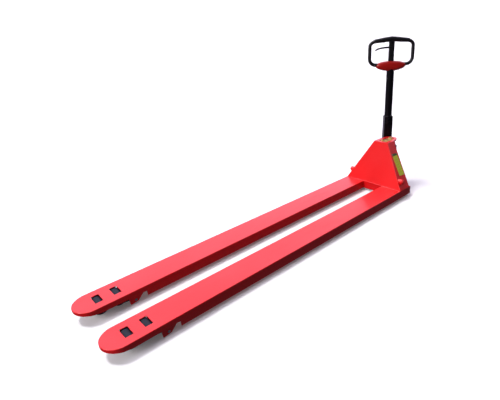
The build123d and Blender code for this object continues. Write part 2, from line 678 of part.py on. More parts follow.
def make_steer_axle():
    """Steering wheel axle."""
    end = WHEEL_INNER_T + WHEEL_WIDTH + 6
    axle = bar_y(0, WHEEL_RADIUS, AXLE_RADIUS, -end, end)
    return chamfer(axle.edges().filter_by(GeomType.CIRCLE), 1.5)


def make_axle_clips():
    """Retaining washers at the ends of the steering axle."""
    y0 = WHEEL_INNER_T + WHEEL_WIDTH + 0.8
    ring = bar_y(0, WHEEL_RADIUS, 17, y0, y0 + 3) - bar_y(0, WHEEL_RADIUS, AXLE_RADIUS, y0 - 1, y0 + 4)
    return pair(ring)


def make_pivot_pin():
    """Handle pivot pin with end heads."""
    end = CHEEK_INNER + CHEEK_THICK
    pin = bar_y(-PIVOT_R, PIVOT_Z, PIVOT_PIN_RADIUS, -end - 1, end + 1)
    return pin + both(bar_y(-PIVOT_R, PIVOT_Z, 13, end + 0.8, end + 5))


def make_release_valve():
    """Release valve stem and its small lever on the casting web."""
    stem = bar_y(-96, 166, 6, 14, 27)
    return stem + block(-100, -62, 23, 27, 162, 170) + bar_y(-64, 166, 5, 21, 27)


def make_plunger():
    """Pump plunger with its cap and spring sleeve."""
    cap = post(-PUMP_AXIS_R, 0, SLEEVE_OUTER, SLEEVE_BOTTOM, SLEEVE_TOP)
    cap = chamfer(cap.faces().sort_by(Axis.Z)[-1].edges(), 3)
    cap -= post(-PUMP_AXIS_R, 0, TOWER_RADIUS + 1, SLEEVE_BOTTOM - 1, SLEEVE_TOP - 8)
    return cap + post(-PUMP_AXIS_R, 0, PLUNGER_RADIUS, 150, SLEEVE_TOP - 4)


def make_steer_hub(side):
    """Wheel hub with recessed faces."""
    inner = side * WHEEL_INNER_T
    outer = side * (WHEEL_INNER_T + WHEEL_WIDTH)
    hub = bar_y(0, WHEEL_RADIUS, WHEEL_HUB_RADIUS, min(inner, outer), max(inner, outer))
    for y in (inner, outer):
        dish = bar_y(0, WHEEL_RADIUS, WHEEL_HUB_RADIUS - 9, y - 11, y + 11)
        dish -= bar_y(0, WHEEL_RADIUS, 22, y - 12, y + 12)
        hub -= dish
    return hub - bar_y(0, WHEEL_RADIUS, AXLE_RADIUS + RUN, -OVERALL_WIDTH, OVERALL_WIDTH)


def make_steer_tyre(side):
    """Tyre bonded on the wheel hub."""
    inner = side * WHEEL_INNER_T
    outer = side * (WHEEL_INNER_T + WHEEL_WIDTH)
    tyre = bar_y(0, WHEEL_RADIUS, WHEEL_RADIUS, min(inner, outer), max(inner, outer))
    tyre = fillet(tyre.edges().filter_by(GeomType.CIRCLE), WHEEL_SHOULDER)
    return tyre - bar_y(0, WHEEL_RADIUS, WHEEL_HUB_RADIUS, -OVERALL_WIDTH, OVERALL_WIDTH)


# ---- handle, built straight ahead ----
def make_yoke():
    """Yoke: two cheeks on the pivot pin under a tapering block."""
    outer = CHEEK_INNER + CHEEK_THICK
    x0 = -PIVOT_R - YOKE_HALF_R
    x1 = -PIVOT_R + YOKE_HALF_R
    yoke = plate_yz(
        [
            (-outer, YOKE_BLOCK_BOTTOM),
            (outer, YOKE_BLOCK_BOTTOM),
            (YOKE_TOP_HALF_T, YOKE_TOP),
            (-YOKE_TOP_HALF_T, YOKE_TOP),
        ],
        x0,
        x1,
    )
    for side in (-1, 1):
        y0 = min(side * CHEEK_INNER, side * outer)
        y1 = max(side * CHEEK_INNER, side * outer)
        cheek = link((-PIVOT_R, PIVOT_Z), 21, (PRESS_X, PRESS_Z), 13, y0, y1)
        outline = [
            (-PIVOT_R + 20, PIVOT_Z + 5),
            (x1, YOKE_BLOCK_BOTTOM + 1),
            (x0, YOKE_BLOCK_BOTTOM + 1),
            (PRESS_X - 10, PRESS_Z + 8),
        ]
        yoke += cheek + plate_xz(outline, y0, y1)
    yoke -= bar_y(-PIVOT_R, PIVOT_Z, PIVOT_PIN_RADIUS + RUN, -OVERALL_WIDTH, OVERALL_WIDTH)
    yoke -= bar_y(PRESS_X, PRESS_Z, 6, -OVERALL_WIDTH, OVERALL_WIDTH)
    yoke += post(-PIVOT_R, 0, TUBE_RADIUS + SOCKET_WALL, YOKE_TOP - SOCKET_DEPTH, YOKE_TOP)
    return yoke - post(-PIVOT_R, 0, TUBE_RADIUS, YOKE_TOP - SOCKET_DEPTH, YOKE_TOP + 1)


def make_press_roller():
    """Roller and its pin that press on the plunger cap."""
    roller = bar_y(PRESS_X, PRESS_Z, PRESS_RADIUS, -13, 13)
    return roller + bar_y(PRESS_X, PRESS_Z, 6, -CHEEK_INNER - CHEEK_THICK, CHEEK_INNER + CHEEK_THICK)


def make_handle_tube(loop):
    """Handle tube from the yoke up to the grip loop, notched to fit the bottom bar."""
    z0 = YOKE_TOP - SOCKET_DEPTH
    tube = post(-PIVOT_R, 0, TUBE_RADIUS, z0, TUBE_TOP)
    return tube - post(-PIVOT_R, 0, TUBE_RADIUS - TUBE_WALL, z0 - 1, TUBE_TOP + 1) - loop


def loop_path():
    """Centre line of the grip loop in its own plane."""
    plane = Plane(origin=(-PIVOT_R, 0, 0), x_dir=(0, 1, 0), z_dir=(1, 0, 0))
    shoulder = HANDLE_TOP_BAR - LOOP_SHOULDER_DROP
    corners = [
        (-LOOP_HALF_WIDTH, LOOP_BOTTOM),
        (LOOP_HALF_WIDTH, LOOP_BOTTOM),
        (LOOP_HALF_WIDTH, shoulder),
        (0, HANDLE_TOP_BAR),
        (-LOOP_HALF_WIDTH, shoulder),
    ]
    outline = Polygon(*corners, align=None)
    return plane * fillet(outline.vertices(), LOOP_CORNER)


def crown_side(side):
    """Tapering half of the crown on one side of the peak."""
    drop = LOOP_SHOULDER_DROP * CROWN_HALF / LOOP_HALF_WIDTH
    middle = (-PIVOT_R, side * CROWN_HALF / 2, HANDLE_TOP_BAR - drop / 2)
    plane = Plane(origin=middle, z_dir=(0, side * CROWN_HALF, -drop))
    return plane * Cone(CROWN_RADIUS, LOOP_SECTION + 0.3, hypot(CROWN_HALF, drop))


def make_loop():
    """Closed grip loop, peaked and thicker at the middle of its top bar."""
    wire = loop_path().face().outer_wire()
    start = wire @ 0
    section = Plane(origin=start, z_dir=wire % 0) * Circle(LOOP_SECTION)
    loop = sweep(section, path=wire)
    crown = Pos(-PIVOT_R, 0, HANDLE_TOP_BAR) * Sphere(CROWN_RADIUS)
    crown += crown_side(1)
    crown += crown_side(-1)
    return loop + crown


def make_post(loop):
    """Flat centre post from the bottom bar to the top bar."""
    x0 = -PIVOT_R - POST_HALF_R
    x1 = -PIVOT_R + POST_HALF_R
    stem = block(x0, x1, -POST_HALF_T, POST_HALF_T, LOOP_BOTTOM, HANDLE_TOP_BAR)
    return stem - loop


def make_guard(loop, stem):
    """Lens-shaped insert across the bottom of the loop."""
    plane = Plane(origin=(-PIVOT_R - GUARD_HALF_R, 0, 0), x_dir=(0, 1, 0), z_dir=(1, 0, 0))
    centre_z = LOOP_BOTTOM - GUARD_DROP
    lens = extrude(plane * Pos(0, centre_z) * Ellipse(GUARD_HALF_T, GUARD_HALF_Z), 2 * GUARD_HALF_R)
    lens = fillet(lens.edges(), 6)
    lens -= post(-PIVOT_R, 0, TUBE_RADIUS, centre_z - 60, TUBE_TOP)
    return lens - loop - stem


def make_lever():
    """Three-way control lever beside the centre post."""
    y0 = -POST_HALF_T - 3.0
    path = [
        (y0, LEVER_PIVOT_Z - 7),
        (y0, LEVER_PIVOT_Z + 7),
        (y0 - 60, LEVER_PIVOT_Z + 3),
        (y0 - LEVER_LENGTH + 12, LEVER_PIVOT_Z - 8),
        (y0 - LEVER_LENGTH, LEVER_PIVOT_Z - 24),
        (y0 - LEVER_LENGTH + 10, LEVER_PIVOT_Z - 26),
        (y0 - LEVER_LENGTH + 22, LEVER_PIVOT_Z - 17),
        (y0 - 60, LEVER_PIVOT_Z - 9),
    ]
    lever = plate_yz(path, -PIVOT_R - 6, -PIVOT_R + 6)
    face = -PIVOT_R + POST_HALF_R + LAYER
    lever += bar_x(0, LEVER_PIVOT_Z, 13, face, face + 6)
    lever += plate_yz(
        [(-8, LEVER_PIVOT_Z - 6), (-8, LEVER_PIVOT_Z + 6), (y0 - 10, LEVER_PIVOT_Z + 6), (y0 - 10, LEVER_PIVOT_Z - 8)],
        face,
        face + 6,
    )
    lever += block(-PIVOT_R - 6, face + 6, y0 - 22, y0 - 6, LEVER_PIVOT_Z - 7, LEVER_PIVOT_Z + 5)
    return lever


def make_chain_ring():
    """Ring at the foot of the yoke for the release chain."""
    z = YOKE_BLOCK_BOTTOM + 14
    x = -PIVOT_R + YOKE_HALF_R
    ring = Pos(x + 3, 0, z) * Rot(0, 90, 0) * Torus(9, 2)
    return ring + bar_x(0, z + 9, 3, x, x + 4)


def make_yoke_bolts():
    """Cross bolts that clamp the tube in the yoke."""
    bolts = []
    half = TUBE_RADIUS + SOCKET_WALL
    socket = post(-PIVOT_R, 0, half, YOKE_TOP - SOCKET_DEPTH, YOKE_TOP)
    for z in (YOKE_TOP - 18, YOKE_TOP - 44):
        for side in (-1, 1):
            x0 = -PIVOT_R + side * (half - 2)
            x1 = -PIVOT_R + side * (half + 5)
            bolts.append(bar_x(0, z, 7.5, min(x0, x1), max(x0, x1)) - socket)
    return Compound(children=bolts)


# ---- assembly ----
def build():
    """All nodes of the truck in the working frame."""
    nodes = {}
    fork = make_fork()
    nodes["fork_left"] = fork
    nodes["fork_right"] = mirror(fork, about=Plane.XZ)
    nodes["fork_ribs"] = make_ribs()
    nodes["pivot_ears"] = make_ears()
    nodes["frame_pins"] = make_frame_pin()
    nodes["front_plate"] = make_front_plate()
    nodes["cross_member"] = make_cross_member()
    side = make_side_plate()
    nodes["side_plate_left"] = side
    nodes["side_plate_right"] = mirror(side, about=Plane.XZ)
    nodes["head_plate"] = make_head_plate()
    nodes["saddle_plate"] = make_saddle()
    nodes["bearing_plates"] = make_bearing_plates()
    nodes["shaft_bosses"] = make_bosses()
    nodes["label_plate"] = make_label()
    nodes["ram"] = make_ram()
    nodes["ram_nut"] = make_ram_nut()
    nodes["rocker"] = make_rocker()
    nodes["cross_shaft"] = make_cross_shaft()
    nodes["carrier_ring"] = make_carrier()
    left = {
        "push_rod": make_push_rod(),
        "wheel_frame": make_wheel_frame(),
        "bogie": make_bogie(),
        "bogie_pin": make_bogie_pin(),
        "front_roller_hub": make_roller_hub(ROLLER_FRONT_X),
        "front_roller_tyre": make_roller_tyre(ROLLER_FRONT_X),
        "rear_roller_hub": make_roller_hub(ROLLER_FRONT_X - ROLLER_SPACING),
        "rear_roller_tyre": make_roller_tyre(ROLLER_FRONT_X - ROLLER_SPACING),
    }
    for name, shape in left.items():
        nodes[name + "_left"] = shape
        nodes[name + "_right"] = mirror(shape, about=Plane.XZ)
    loop = make_loop()
    stem = make_post(loop)
    turned = {
        "pump_base": make_pump_base(),
        "pump_cylinder": make_pump_cylinder(),
        "reservoir": make_reservoir(),
        "ram_gland": make_gland(),
        "ring_collar": make_collar(),
        "steer_axle": make_steer_axle(),
        "axle_clips": make_axle_clips(),
        "pivot_pin": make_pivot_pin(),
        "release_valve": make_release_valve(),
        "plunger": make_plunger(),
        "steer_hub_left": make_steer_hub(1),
        "steer_tyre_left": make_steer_tyre(1),
        "steer_hub_right": make_steer_hub(-1),
        "steer_tyre_right": make_steer_tyre(-1),
        "yoke": make_yoke(),
        "press_roller": make_press_roller(),
        "handle_tube": make_handle_tube(loop),
        "grip_loop": loop,
        "centre_post": stem,
        "guard_insert": make_guard(loop, stem),
        "control_lever": make_lever(),
        "chain_ring": make_chain_ring(),
        "yoke_bolts": make_yoke_bolts(),
    }
    for name, shape in turned.items():
        nodes[name] = steered(shape)
    return nodes


def write(nodes):
    """Move the truck to its origin and write one file per node."""
    os.makedirs("parts", exist_ok=True)
    boxes = [shape.bounding_box() for shape in nodes.values()]
    x0 = min(b.min.X for b in boxes)
    x1 = max(b.max.X for b in boxes)
    y0 = min(b.min.Y for b in boxes)
    y1 = max(b.max.Y for b in boxes)
    z0 = min(b.min.Z for b in boxes)
    shift = Pos(-(x0 + x1) / 2, -(y0 + y1) / 2, -z0)
    for name, shape in nodes.items():
        moved = shift * shape
        moved.label = name
        solids = moved.solids()
        print(f"{name}: {len(solids)} solid(s), volume {sum(s.volume for s in solids):.0f} mm3")
        export_step(moved, f"parts/{name}.step")
    print(f"king-pin axis at x {-(x0 + x1) / 2:.3f} y {-(y0 + y1) / 2:.3f} z {-z0:.3f}")
    print(f"overall {x1 - x0:.1f} x {y1 - y0:.1f} x {max(b.max.Z for b in boxes) - z0:.1f} mm")
    print(f"rocker ratio {-2 * ROCKER_HALF / LIFT * 1000:.5f} rad/m")
    print(f"frame ratio {FRAME_SWING / LIFT * 1000:.5f} rad/m, swing {degrees(FRAME_SWING):.2f} deg")


write(build())
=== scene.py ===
"""Looks of a long-fork hand pallet truck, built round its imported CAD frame."""

from __future__ import annotations

import json
import logging
import math
import random
from dataclasses import dataclass
from enum import Enum
from typing import Callable, Iterable, Sequence

import bmesh
import bpy
from mathutils import Matrix, Vector


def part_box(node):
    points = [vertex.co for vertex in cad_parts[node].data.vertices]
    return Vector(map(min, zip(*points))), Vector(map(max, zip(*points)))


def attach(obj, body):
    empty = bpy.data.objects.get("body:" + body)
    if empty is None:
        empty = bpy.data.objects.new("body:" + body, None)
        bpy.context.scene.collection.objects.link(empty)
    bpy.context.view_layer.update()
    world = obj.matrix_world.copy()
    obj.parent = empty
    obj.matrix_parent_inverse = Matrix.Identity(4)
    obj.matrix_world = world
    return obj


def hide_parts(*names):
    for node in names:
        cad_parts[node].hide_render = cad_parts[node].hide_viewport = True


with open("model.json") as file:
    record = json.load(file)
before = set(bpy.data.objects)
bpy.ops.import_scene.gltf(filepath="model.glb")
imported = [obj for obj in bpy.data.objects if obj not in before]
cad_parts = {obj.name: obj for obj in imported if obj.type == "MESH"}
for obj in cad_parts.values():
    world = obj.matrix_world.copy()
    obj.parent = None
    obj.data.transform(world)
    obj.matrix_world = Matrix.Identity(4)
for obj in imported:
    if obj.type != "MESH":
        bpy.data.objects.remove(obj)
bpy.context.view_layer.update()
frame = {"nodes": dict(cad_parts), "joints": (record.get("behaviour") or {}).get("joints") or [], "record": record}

LOG = logging.getLogger("pallet_truck")
MM = 0.001
Number = float | int


# ---------------------------------------------------------------- shader kit
class Wire:
    """A shader socket that takes part in Python arithmetic."""

    def __init__(self, graph: Graph, socket: bpy.types.NodeSocket) -> None:
        """Hold a socket of a graph.

        Args:
            graph: The material graph that owns the socket.
            socket: The output socket.
        """
        self.graph = graph
        self.socket = socket

    def _maths(self, operation: str, first: Wire | Number, second: Wire | Number) -> Wire:
        """Add one Math node.

        Args:
            operation: Blender's name of the operation.
            first: Left value.
            second: Right value.

        Returns:
            The result as a wire.
        """
        return self.graph.make("ShaderNodeMath", {"operation": operation}, {0: first, 1: second})

    def __add__(self, other: Wire | Number) -> Wire:
        """Sum."""
        return self._maths("ADD", self, other)

    def __radd__(self, other: Number) -> Wire:
        """Sum with a number on the left."""
        return self._maths("ADD", other, self)

    def __sub__(self, other: Wire | Number) -> Wire:
        """Difference."""
        return self._maths("SUBTRACT", self, other)

    def __rsub__(self, other: Number) -> Wire:
        """Difference with a number on the left."""
        return self._maths("SUBTRACT", other, self)

    def __mul__(self, other: Wire | Number) -> Wire:
        """Product."""
        return self._maths("MULTIPLY", self, other)

    def __rmul__(self, other: Number) -> Wire:
        """Product with a number on the left."""
        return self._maths("MULTIPLY", other, self)

    def __truediv__(self, other: Wire | Number) -> Wire:
        """Quotient."""
        return self._maths("DIVIDE", self, other)

    def above(self, limit: Wire | Number) -> Wire:
        """One where the value is above a limit, else zero."""
        return self._maths("GREATER_THAN", self, limit)

    def below(self, limit: Wire | Number) -> Wire:
        """One where the value is below a limit, else zero."""
        return self._maths("LESS_THAN", self, limit)

    def band(self, low: Number, high: Number) -> Wire:
        """Smooth step from zero at low to one at high.

        Args:
            low: Value that gives zero.
            high: Value that gives one.

        Returns:
            The stepped wire.
        """
        ends = {"interpolation_type": "SMOOTHSTEP"}
        return self.graph.make("ShaderNodeMapRange", ends, {"Value": self, "From Min": low, "From Max": high})


class Graph:
    """Node graph of one material."""

    def __init__(self, name: str) -> None:
        """Start an empty material.

        Args:
            name: Name of the material.
        """
        self.material = bpy.data.materials.new(name)
        self.material.use_nodes = True
        self.tree = self.material.node_tree
        self.tree.nodes.clear()
        self.place = self.make("ShaderNodeTexCoord", {}, {}, "Object")

    def make(self, kind: str, settings: dict, inputs: dict, output: str | int = 0) -> Wire:
        """Add any node.

        Args:
            kind: Node type.
            settings: Attributes set before the sockets; "stops" fills a colour ramp.
            inputs: Socket name or index to a number, colour or wire.
            output: Output socket to hand back.

        Returns:
            The chosen output as a wire.
        """
        node = self.tree.nodes.new(kind)
        for key, value in settings.items():
            if key == "stops":
                self._fill_ramp(node, value)
            else:
                setattr(node, key, value)
        for key, value in inputs.items():
            if isinstance(value, Wire):
                self.tree.links.new(value.socket, node.inputs[key])
            else:
                node.inputs[key].default_value = value
        return Wire(self, node.outputs[output])

    def _fill_ramp(self, node: bpy.types.Node, stops: Sequence[tuple[float, tuple]]) -> None:
        """Set the stops of a colour ramp.

        Args:
            node: The ramp node.
            stops: Position and colour of each stop.
        """
        elements = node.color_ramp.elements
        while len(elements) < len(stops):
            elements.new(0.5)
        for element, (position, colour) in zip(elements, stops):
            element.position = position
            element.color = colour

    def noise(self, scale: float, detail: float = 3.0, rough: float = 0.5, where: Wire | None = None) -> Wire:
        """Noise value over the object.

        Args:
            scale: Cells per metre.
            detail: Octaves.
            rough: Strength of the finer octaves.
            where: Coordinates, the object's own by default.

        Returns:
            The noise between zero and one.
        """
        settings = {"noise_dimensions": "3D"}
        values = {"Vector": where or self.place, "Scale": scale, "Detail": detail, "Roughness": rough}
        return self.make("ShaderNodeTexNoise", settings, values)

    def stretched(self, x: float, y: float, z: float) -> Wire:
        """Object coordinates multiplied along each axis.

        Args:
            x: Factor along X.
            y: Factor along Y.
            z: Factor along Z.

        Returns:
            The scaled coordinates.
        """
        return self.make("ShaderNodeVectorMath", {"operation": "MULTIPLY"}, {0: self.place, 1: (x, y, z)})

    def axis(self, name: str) -> Wire:
        """One coordinate of the object's own place.

        Args:
            name: X, Y or Z.

        Returns:
            The coordinate in metres.
        """
        return self.make("ShaderNodeSeparateXYZ", {}, {0: self.place}, name)

    def blend(self, amount: Wire | Number, under: Wire | tuple, over: Wire | tuple) -> Wire:
        """Mix two colours.

        Args:
            amount: Zero shows under, one shows over.
            under: First colour.
            over: Second colour.

        Returns:
            The mixed colour.
        """
        settings = {"data_type": "RGBA", "clamp_factor": True}
        return self.make("ShaderNodeMix", settings, {0: amount, 6: under, 7: over}, 2)

    def ramp(self, value: Wire, stops: Sequence[tuple[float, tuple]]) -> Wire:
        """Colour ramp over a value.

        Args:
            value: Driving value.
            stops: Position and colour of each stop.

        Returns:
            The colour.
        """
        return self.make("ShaderNodeValToRGB", {"stops": stops}, {"Fac": value})

    def rounded(self, radius: float) -> Wire:
        """Normal that rounds the sharp edges.

        Args:
            radius: Edge radius in metres.

        Returns:
            The rounded normal.
        """
        return self.make("ShaderNodeBevel", {"samples": 4}, {"Radius": radius})

    def edges(self, radius: float) -> Wire:
        """Mask that is one along sharp edges.

        Args:
            radius: Width of the edge band in metres.

        Returns:
            The mask.
        """
        flat = self.make("ShaderNodeNewGeometry", {}, {}, "Normal")
        pair = {0: self.rounded(radius), 1: flat}
        likeness = self.make("ShaderNodeVectorMath", {"operation": "DOT_PRODUCT"}, pair, "Value")
        return (1 - likeness).band(0.02, 0.22)

    def bump(self, height: Wire, depth: float, under: Wire | None = None) -> Wire:
        """Bump from a height.

        Args:
            height: Height between zero and one.
            depth: Depth in metres.
            under: Normal below the bump.

        Returns:
            The bumped normal.
        """
        values = {"Height": height, "Strength": 1.0, "Distance": depth}
        if under is not None:
            values["Normal"] = under
        return self.make("ShaderNodeBump", {}, values)

    def surface(self, inputs: dict) -> bpy.types.Material:
        """Close the graph with one Principled shader.

        Args:
            inputs: Socket name to value or wire.

        Returns:
            The finished material.
        """
        shader = self.make("ShaderNodeBsdfPrincipled", {}, inputs)
        self.make_output(shader)
        return self.material

    def make_output(self, shader: Wire) -> None:
        """Link a shader to the material output."""
        node = self.tree.nodes.new("ShaderNodeOutputMaterial")
        self.tree.links.new(shader.socket, node.inputs["Surface"])


def rgb(red: float, green: float, blue: float) -> tuple[float, float, float, float]:
    """Opaque linear colour."""
    return (red, green, blue, 1.0)


# ---------------------------------------------------------------- finishes
@dataclass(frozen=True)
class PaintFinish:
    """Sprayed gloss paint on sheet steel, with dust, fine scratches and a painted highlight along its sharp edges.
    """

    name: str
    body: tuple
    faded: tuple
    edge: tuple
    # edge is the lighter colour of scratched paint, and also of the painted highlight along sharp edges
    dust: tuple
    roughness: float
    coat: float
    edge_width: float = 1.2 * MM
    painted_edge_highlight: float = 0.5
    # strength of the painted highlight laid along sharp edges
    dust_amount: float = 0.12
    gloss: float = 0.5

    def build(self) -> bpy.types.Material:
        """Make the material.

        Returns:
            The finished material.
        """
        g = Graph(self.name)
        clouds = g.noise(2.4, 4.0, 0.55)
        specks = g.noise(260.0, 2.0, 0.6)
        scuffs = g.noise(9.0, 5.0, 0.7, g.stretched(0.35, 1.0, 1.0))
        peel = g.noise(420.0, 1.0, 0.4)
        lines = g.noise(60.0, 2.0, 0.5, g.stretched(0.06, 3.0, 1.0))
        scratches = lines.band(0.69, 0.74) * scuffs.band(0.52, 0.62)
        up = g.make("ShaderNodeSeparateXYZ", {}, {0: g.make("ShaderNodeNewGeometry", {}, {}, "Normal")}, "Z")
        dusty = up.band(0.2, 1.0) * clouds.band(0.42, 0.72) * specks.band(0.35, 0.75)
        colour = g.blend(clouds.band(0.3, 0.8) * 0.5, self.body, self.faded)
        colour = g.blend(dusty * self.dust_amount, colour, self.dust)
        colour = g.blend(scratches * 0.35, colour, self.edge)
        # painted highlight: every sharp edge is lightened towards the edge colour, standing in for light caught by
        # the rounded edges
        colour = g.blend(g.edges(self.edge_width) * self.painted_edge_highlight, colour, self.edge)
        rough = self.roughness + scuffs.band(0.4, 0.8) * 0.1 + dusty * 0.25 + scratches * 0.2
        normal = g.bump(peel * 0.6 + clouds * 2.0, 0.05 * MM, g.rounded(self.edge_width))
        return g.surface(
            {
                "Base Color": colour,
                "Roughness": rough,
                "Normal": normal,
                "Coat Weight": self.coat,
                "Coat Roughness": 0.12,
                "Specular IOR Level": self.gloss,
            }
        )


@dataclass(frozen=True)
class CastFinish:
    """Sand-cast metal under thin dark paint."""

    name: str
    body: tuple
    bare: tuple
    grain: float = 0.35 * MM

    def build(self) -> bpy.types.Material:
        """Make the material.

        Returns:
            The finished material.
        """
        g = Graph(self.name)
        sand = g.noise(900.0, 3.0, 0.6)
        lumps = g.noise(70.0, 4.0, 0.6)
        stains = g.noise(14.0, 4.0, 0.6)
        worn = g.edges(1.6 * MM) * lumps.band(0.45, 0.62)
        colour = g.blend(stains.band(0.4, 0.7) * 0.4, self.body, rgb(0.055, 0.045, 0.038))
        colour = g.blend(worn * 0.55, colour, self.bare)
        rough = 0.42 + sand * 0.18 + stains.band(0.5, 0.8) * 0.15
        normal = g.bump(sand * 0.5 + lumps, self.grain, g.rounded(1.4 * MM))
        return g.surface({"Base Color": colour, "Roughness": rough, "Metallic": worn * 0.7, "Normal": normal})


@dataclass(frozen=True)
class MetalFinish:
    """Turned, ground or plated metal."""

    name: str
    stops: tuple
    roughness: float
    grooves: float = 0.0
    metallic: float = 1.0

    def build(self) -> bpy.types.Material:
        """Make the material.

        Returns:
            The finished material.
        """
        g = Graph(self.name)
        tint = g.noise(38.0, 3.0, 0.5)
        smear = g.noise(120.0, 4.0, 0.65)
        ground = g.noise(1500.0, 2.0, 0.5, g.stretched(1.0, 1.0, 0.04))
        colour = g.ramp(tint.band(0.25, 0.75), self.stops)
        rough = self.roughness + smear * 0.16 + ground * 0.05
        normal = g.bump(ground + smear * 0.4, (0.02 + self.grooves) * MM, g.rounded(0.6 * MM))
        return g.surface(
            {"Base Color": colour, "Metallic": self.metallic, "Roughness": rough, "Normal": normal}
        )


@dataclass(frozen=True)
class PlasticFinish:
    """Moulded plastic with a fine spark-eroded grain."""

    name: str
    body: tuple
    worn: tuple
    roughness: float
    grain: float
    coat: float = 0.0

    def build(self) -> bpy.types.Material:
        """Make the material.

        Returns:
            The finished material.
        """
        g = Graph(self.name)
        grain = g.noise(2600.0, 2.0, 0.6)
        hands = g.noise(22.0, 4.0, 0.6)
        colour = g.blend(hands.band(0.45, 0.8) * 0.5, self.body, self.worn)
        colour = g.blend(g.edges(1.2 * MM) * 0.25, colour, self.worn)
        rough = self.roughness + grain * 0.1 - hands.band(0.5, 0.8) * 0.08
        normal = g.bump(grain, self.grain, g.rounded(0.9 * MM))
        return g.surface(
            {"Base Color": colour, "Roughness": rough, "Normal": normal, "Coat Weight": self.coat}
        )


@dataclass(frozen=True)
class TyreFinish:
    """Cast polyurethane or rubber running surface, scuffed and dusty."""

    name: str
    body: tuple
    dust: tuple
    roughness: float

    def build(self) -> bpy.types.Material:
        """Make the material.

        Returns:
            The finished material.
        """
        g = Graph(self.name)
        floor_dust = g.noise(85.0, 5.0, 0.7)
        nicks = g.noise(310.0, 3.0, 0.7)
        rings = g.noise(700.0, 1.0, 0.4, g.stretched(0.08, 1.0, 0.08))
        colour = g.blend(floor_dust.band(0.42, 0.75) * 0.55, self.body, self.dust)
        colour = g.blend(nicks.band(0.66, 0.74) * 0.5, colour, rgb(0.16, 0.15, 0.14))
        rough = self.roughness + floor_dust * 0.2
        normal = g.bump(nicks * 0.6 + rings * 0.5, 0.12 * MM, g.rounded(0.8 * MM))
        return g.surface(
            {"Base Color": colour, "Roughness": rough, "Normal": normal, "Specular IOR Level": 0.2}
        )


@dataclass(frozen=True)
class LabelFinish:
    """Blank printed information film with a border, a title band and plain bars."""

    name: str
    bottom: float
    top: float
    film: tuple = rgb(0.60, 0.62, 0.020)
    ink: tuple = rgb(0.022, 0.03, 0.012)

    def build(self) -> bpy.types.Material:
        """Make the material.

        Returns:
            The finished material.
        """
        g = Graph(self.name)
        run = (g.axis("Z") - self.bottom) / (self.top - self.bottom)
        fade = g.noise(30.0, 3.0, 0.5)
        scuff = g.noise(190.0, 4.0, 0.7)
        title = run.above(0.9)
        rows = g.make("ShaderNodeMath", {"operation": "FRACT"}, {0: run * 9.0})
        bars = rows.band(0.42, 0.46) * (1 - rows.band(0.54, 0.58)) * run.below(0.8) * run.above(0.12)
        ink = title * 0.9 + bars * 0.3
        colour = g.blend(fade * 0.35, self.film, rgb(0.70, 0.68, 0.07))
        colour = g.blend(ink, colour, self.ink)
        colour = g.blend(scuff.band(0.62, 0.7) * 0.3, colour, rgb(0.5, 0.48, 0.4))
        normal = g.bump(scuff, 0.03 * MM, g.rounded(0.5 * MM))
        return g.surface({"Base Color": colour, "Roughness": 0.34 + scuff * 0.2, "Normal": normal})


@dataclass(frozen=True)
class FloorFinish:
    """Pale painted studio floor."""

    name: str
    shade: float
    glow: float = 0.10

    def build(self) -> bpy.types.Material:
        """Make the material.

        Returns:
            The finished material.
        """
        g = Graph(self.name)
        drift = g.noise(0.8, 3.0, 0.5)
        light = rgb(self.shade, self.shade, self.shade)
        dim = rgb(self.shade * 0.985, self.shade * 0.985, self.shade * 0.99)
        colour = g.blend(drift, light, dim)
        return g.surface(
            {
                "Base Color": colour,
                "Roughness": 0.85,
                "Specular IOR Level": 0.1,
                "Emission Color": light,
                "Emission Strength": self.glow,
            }
        )


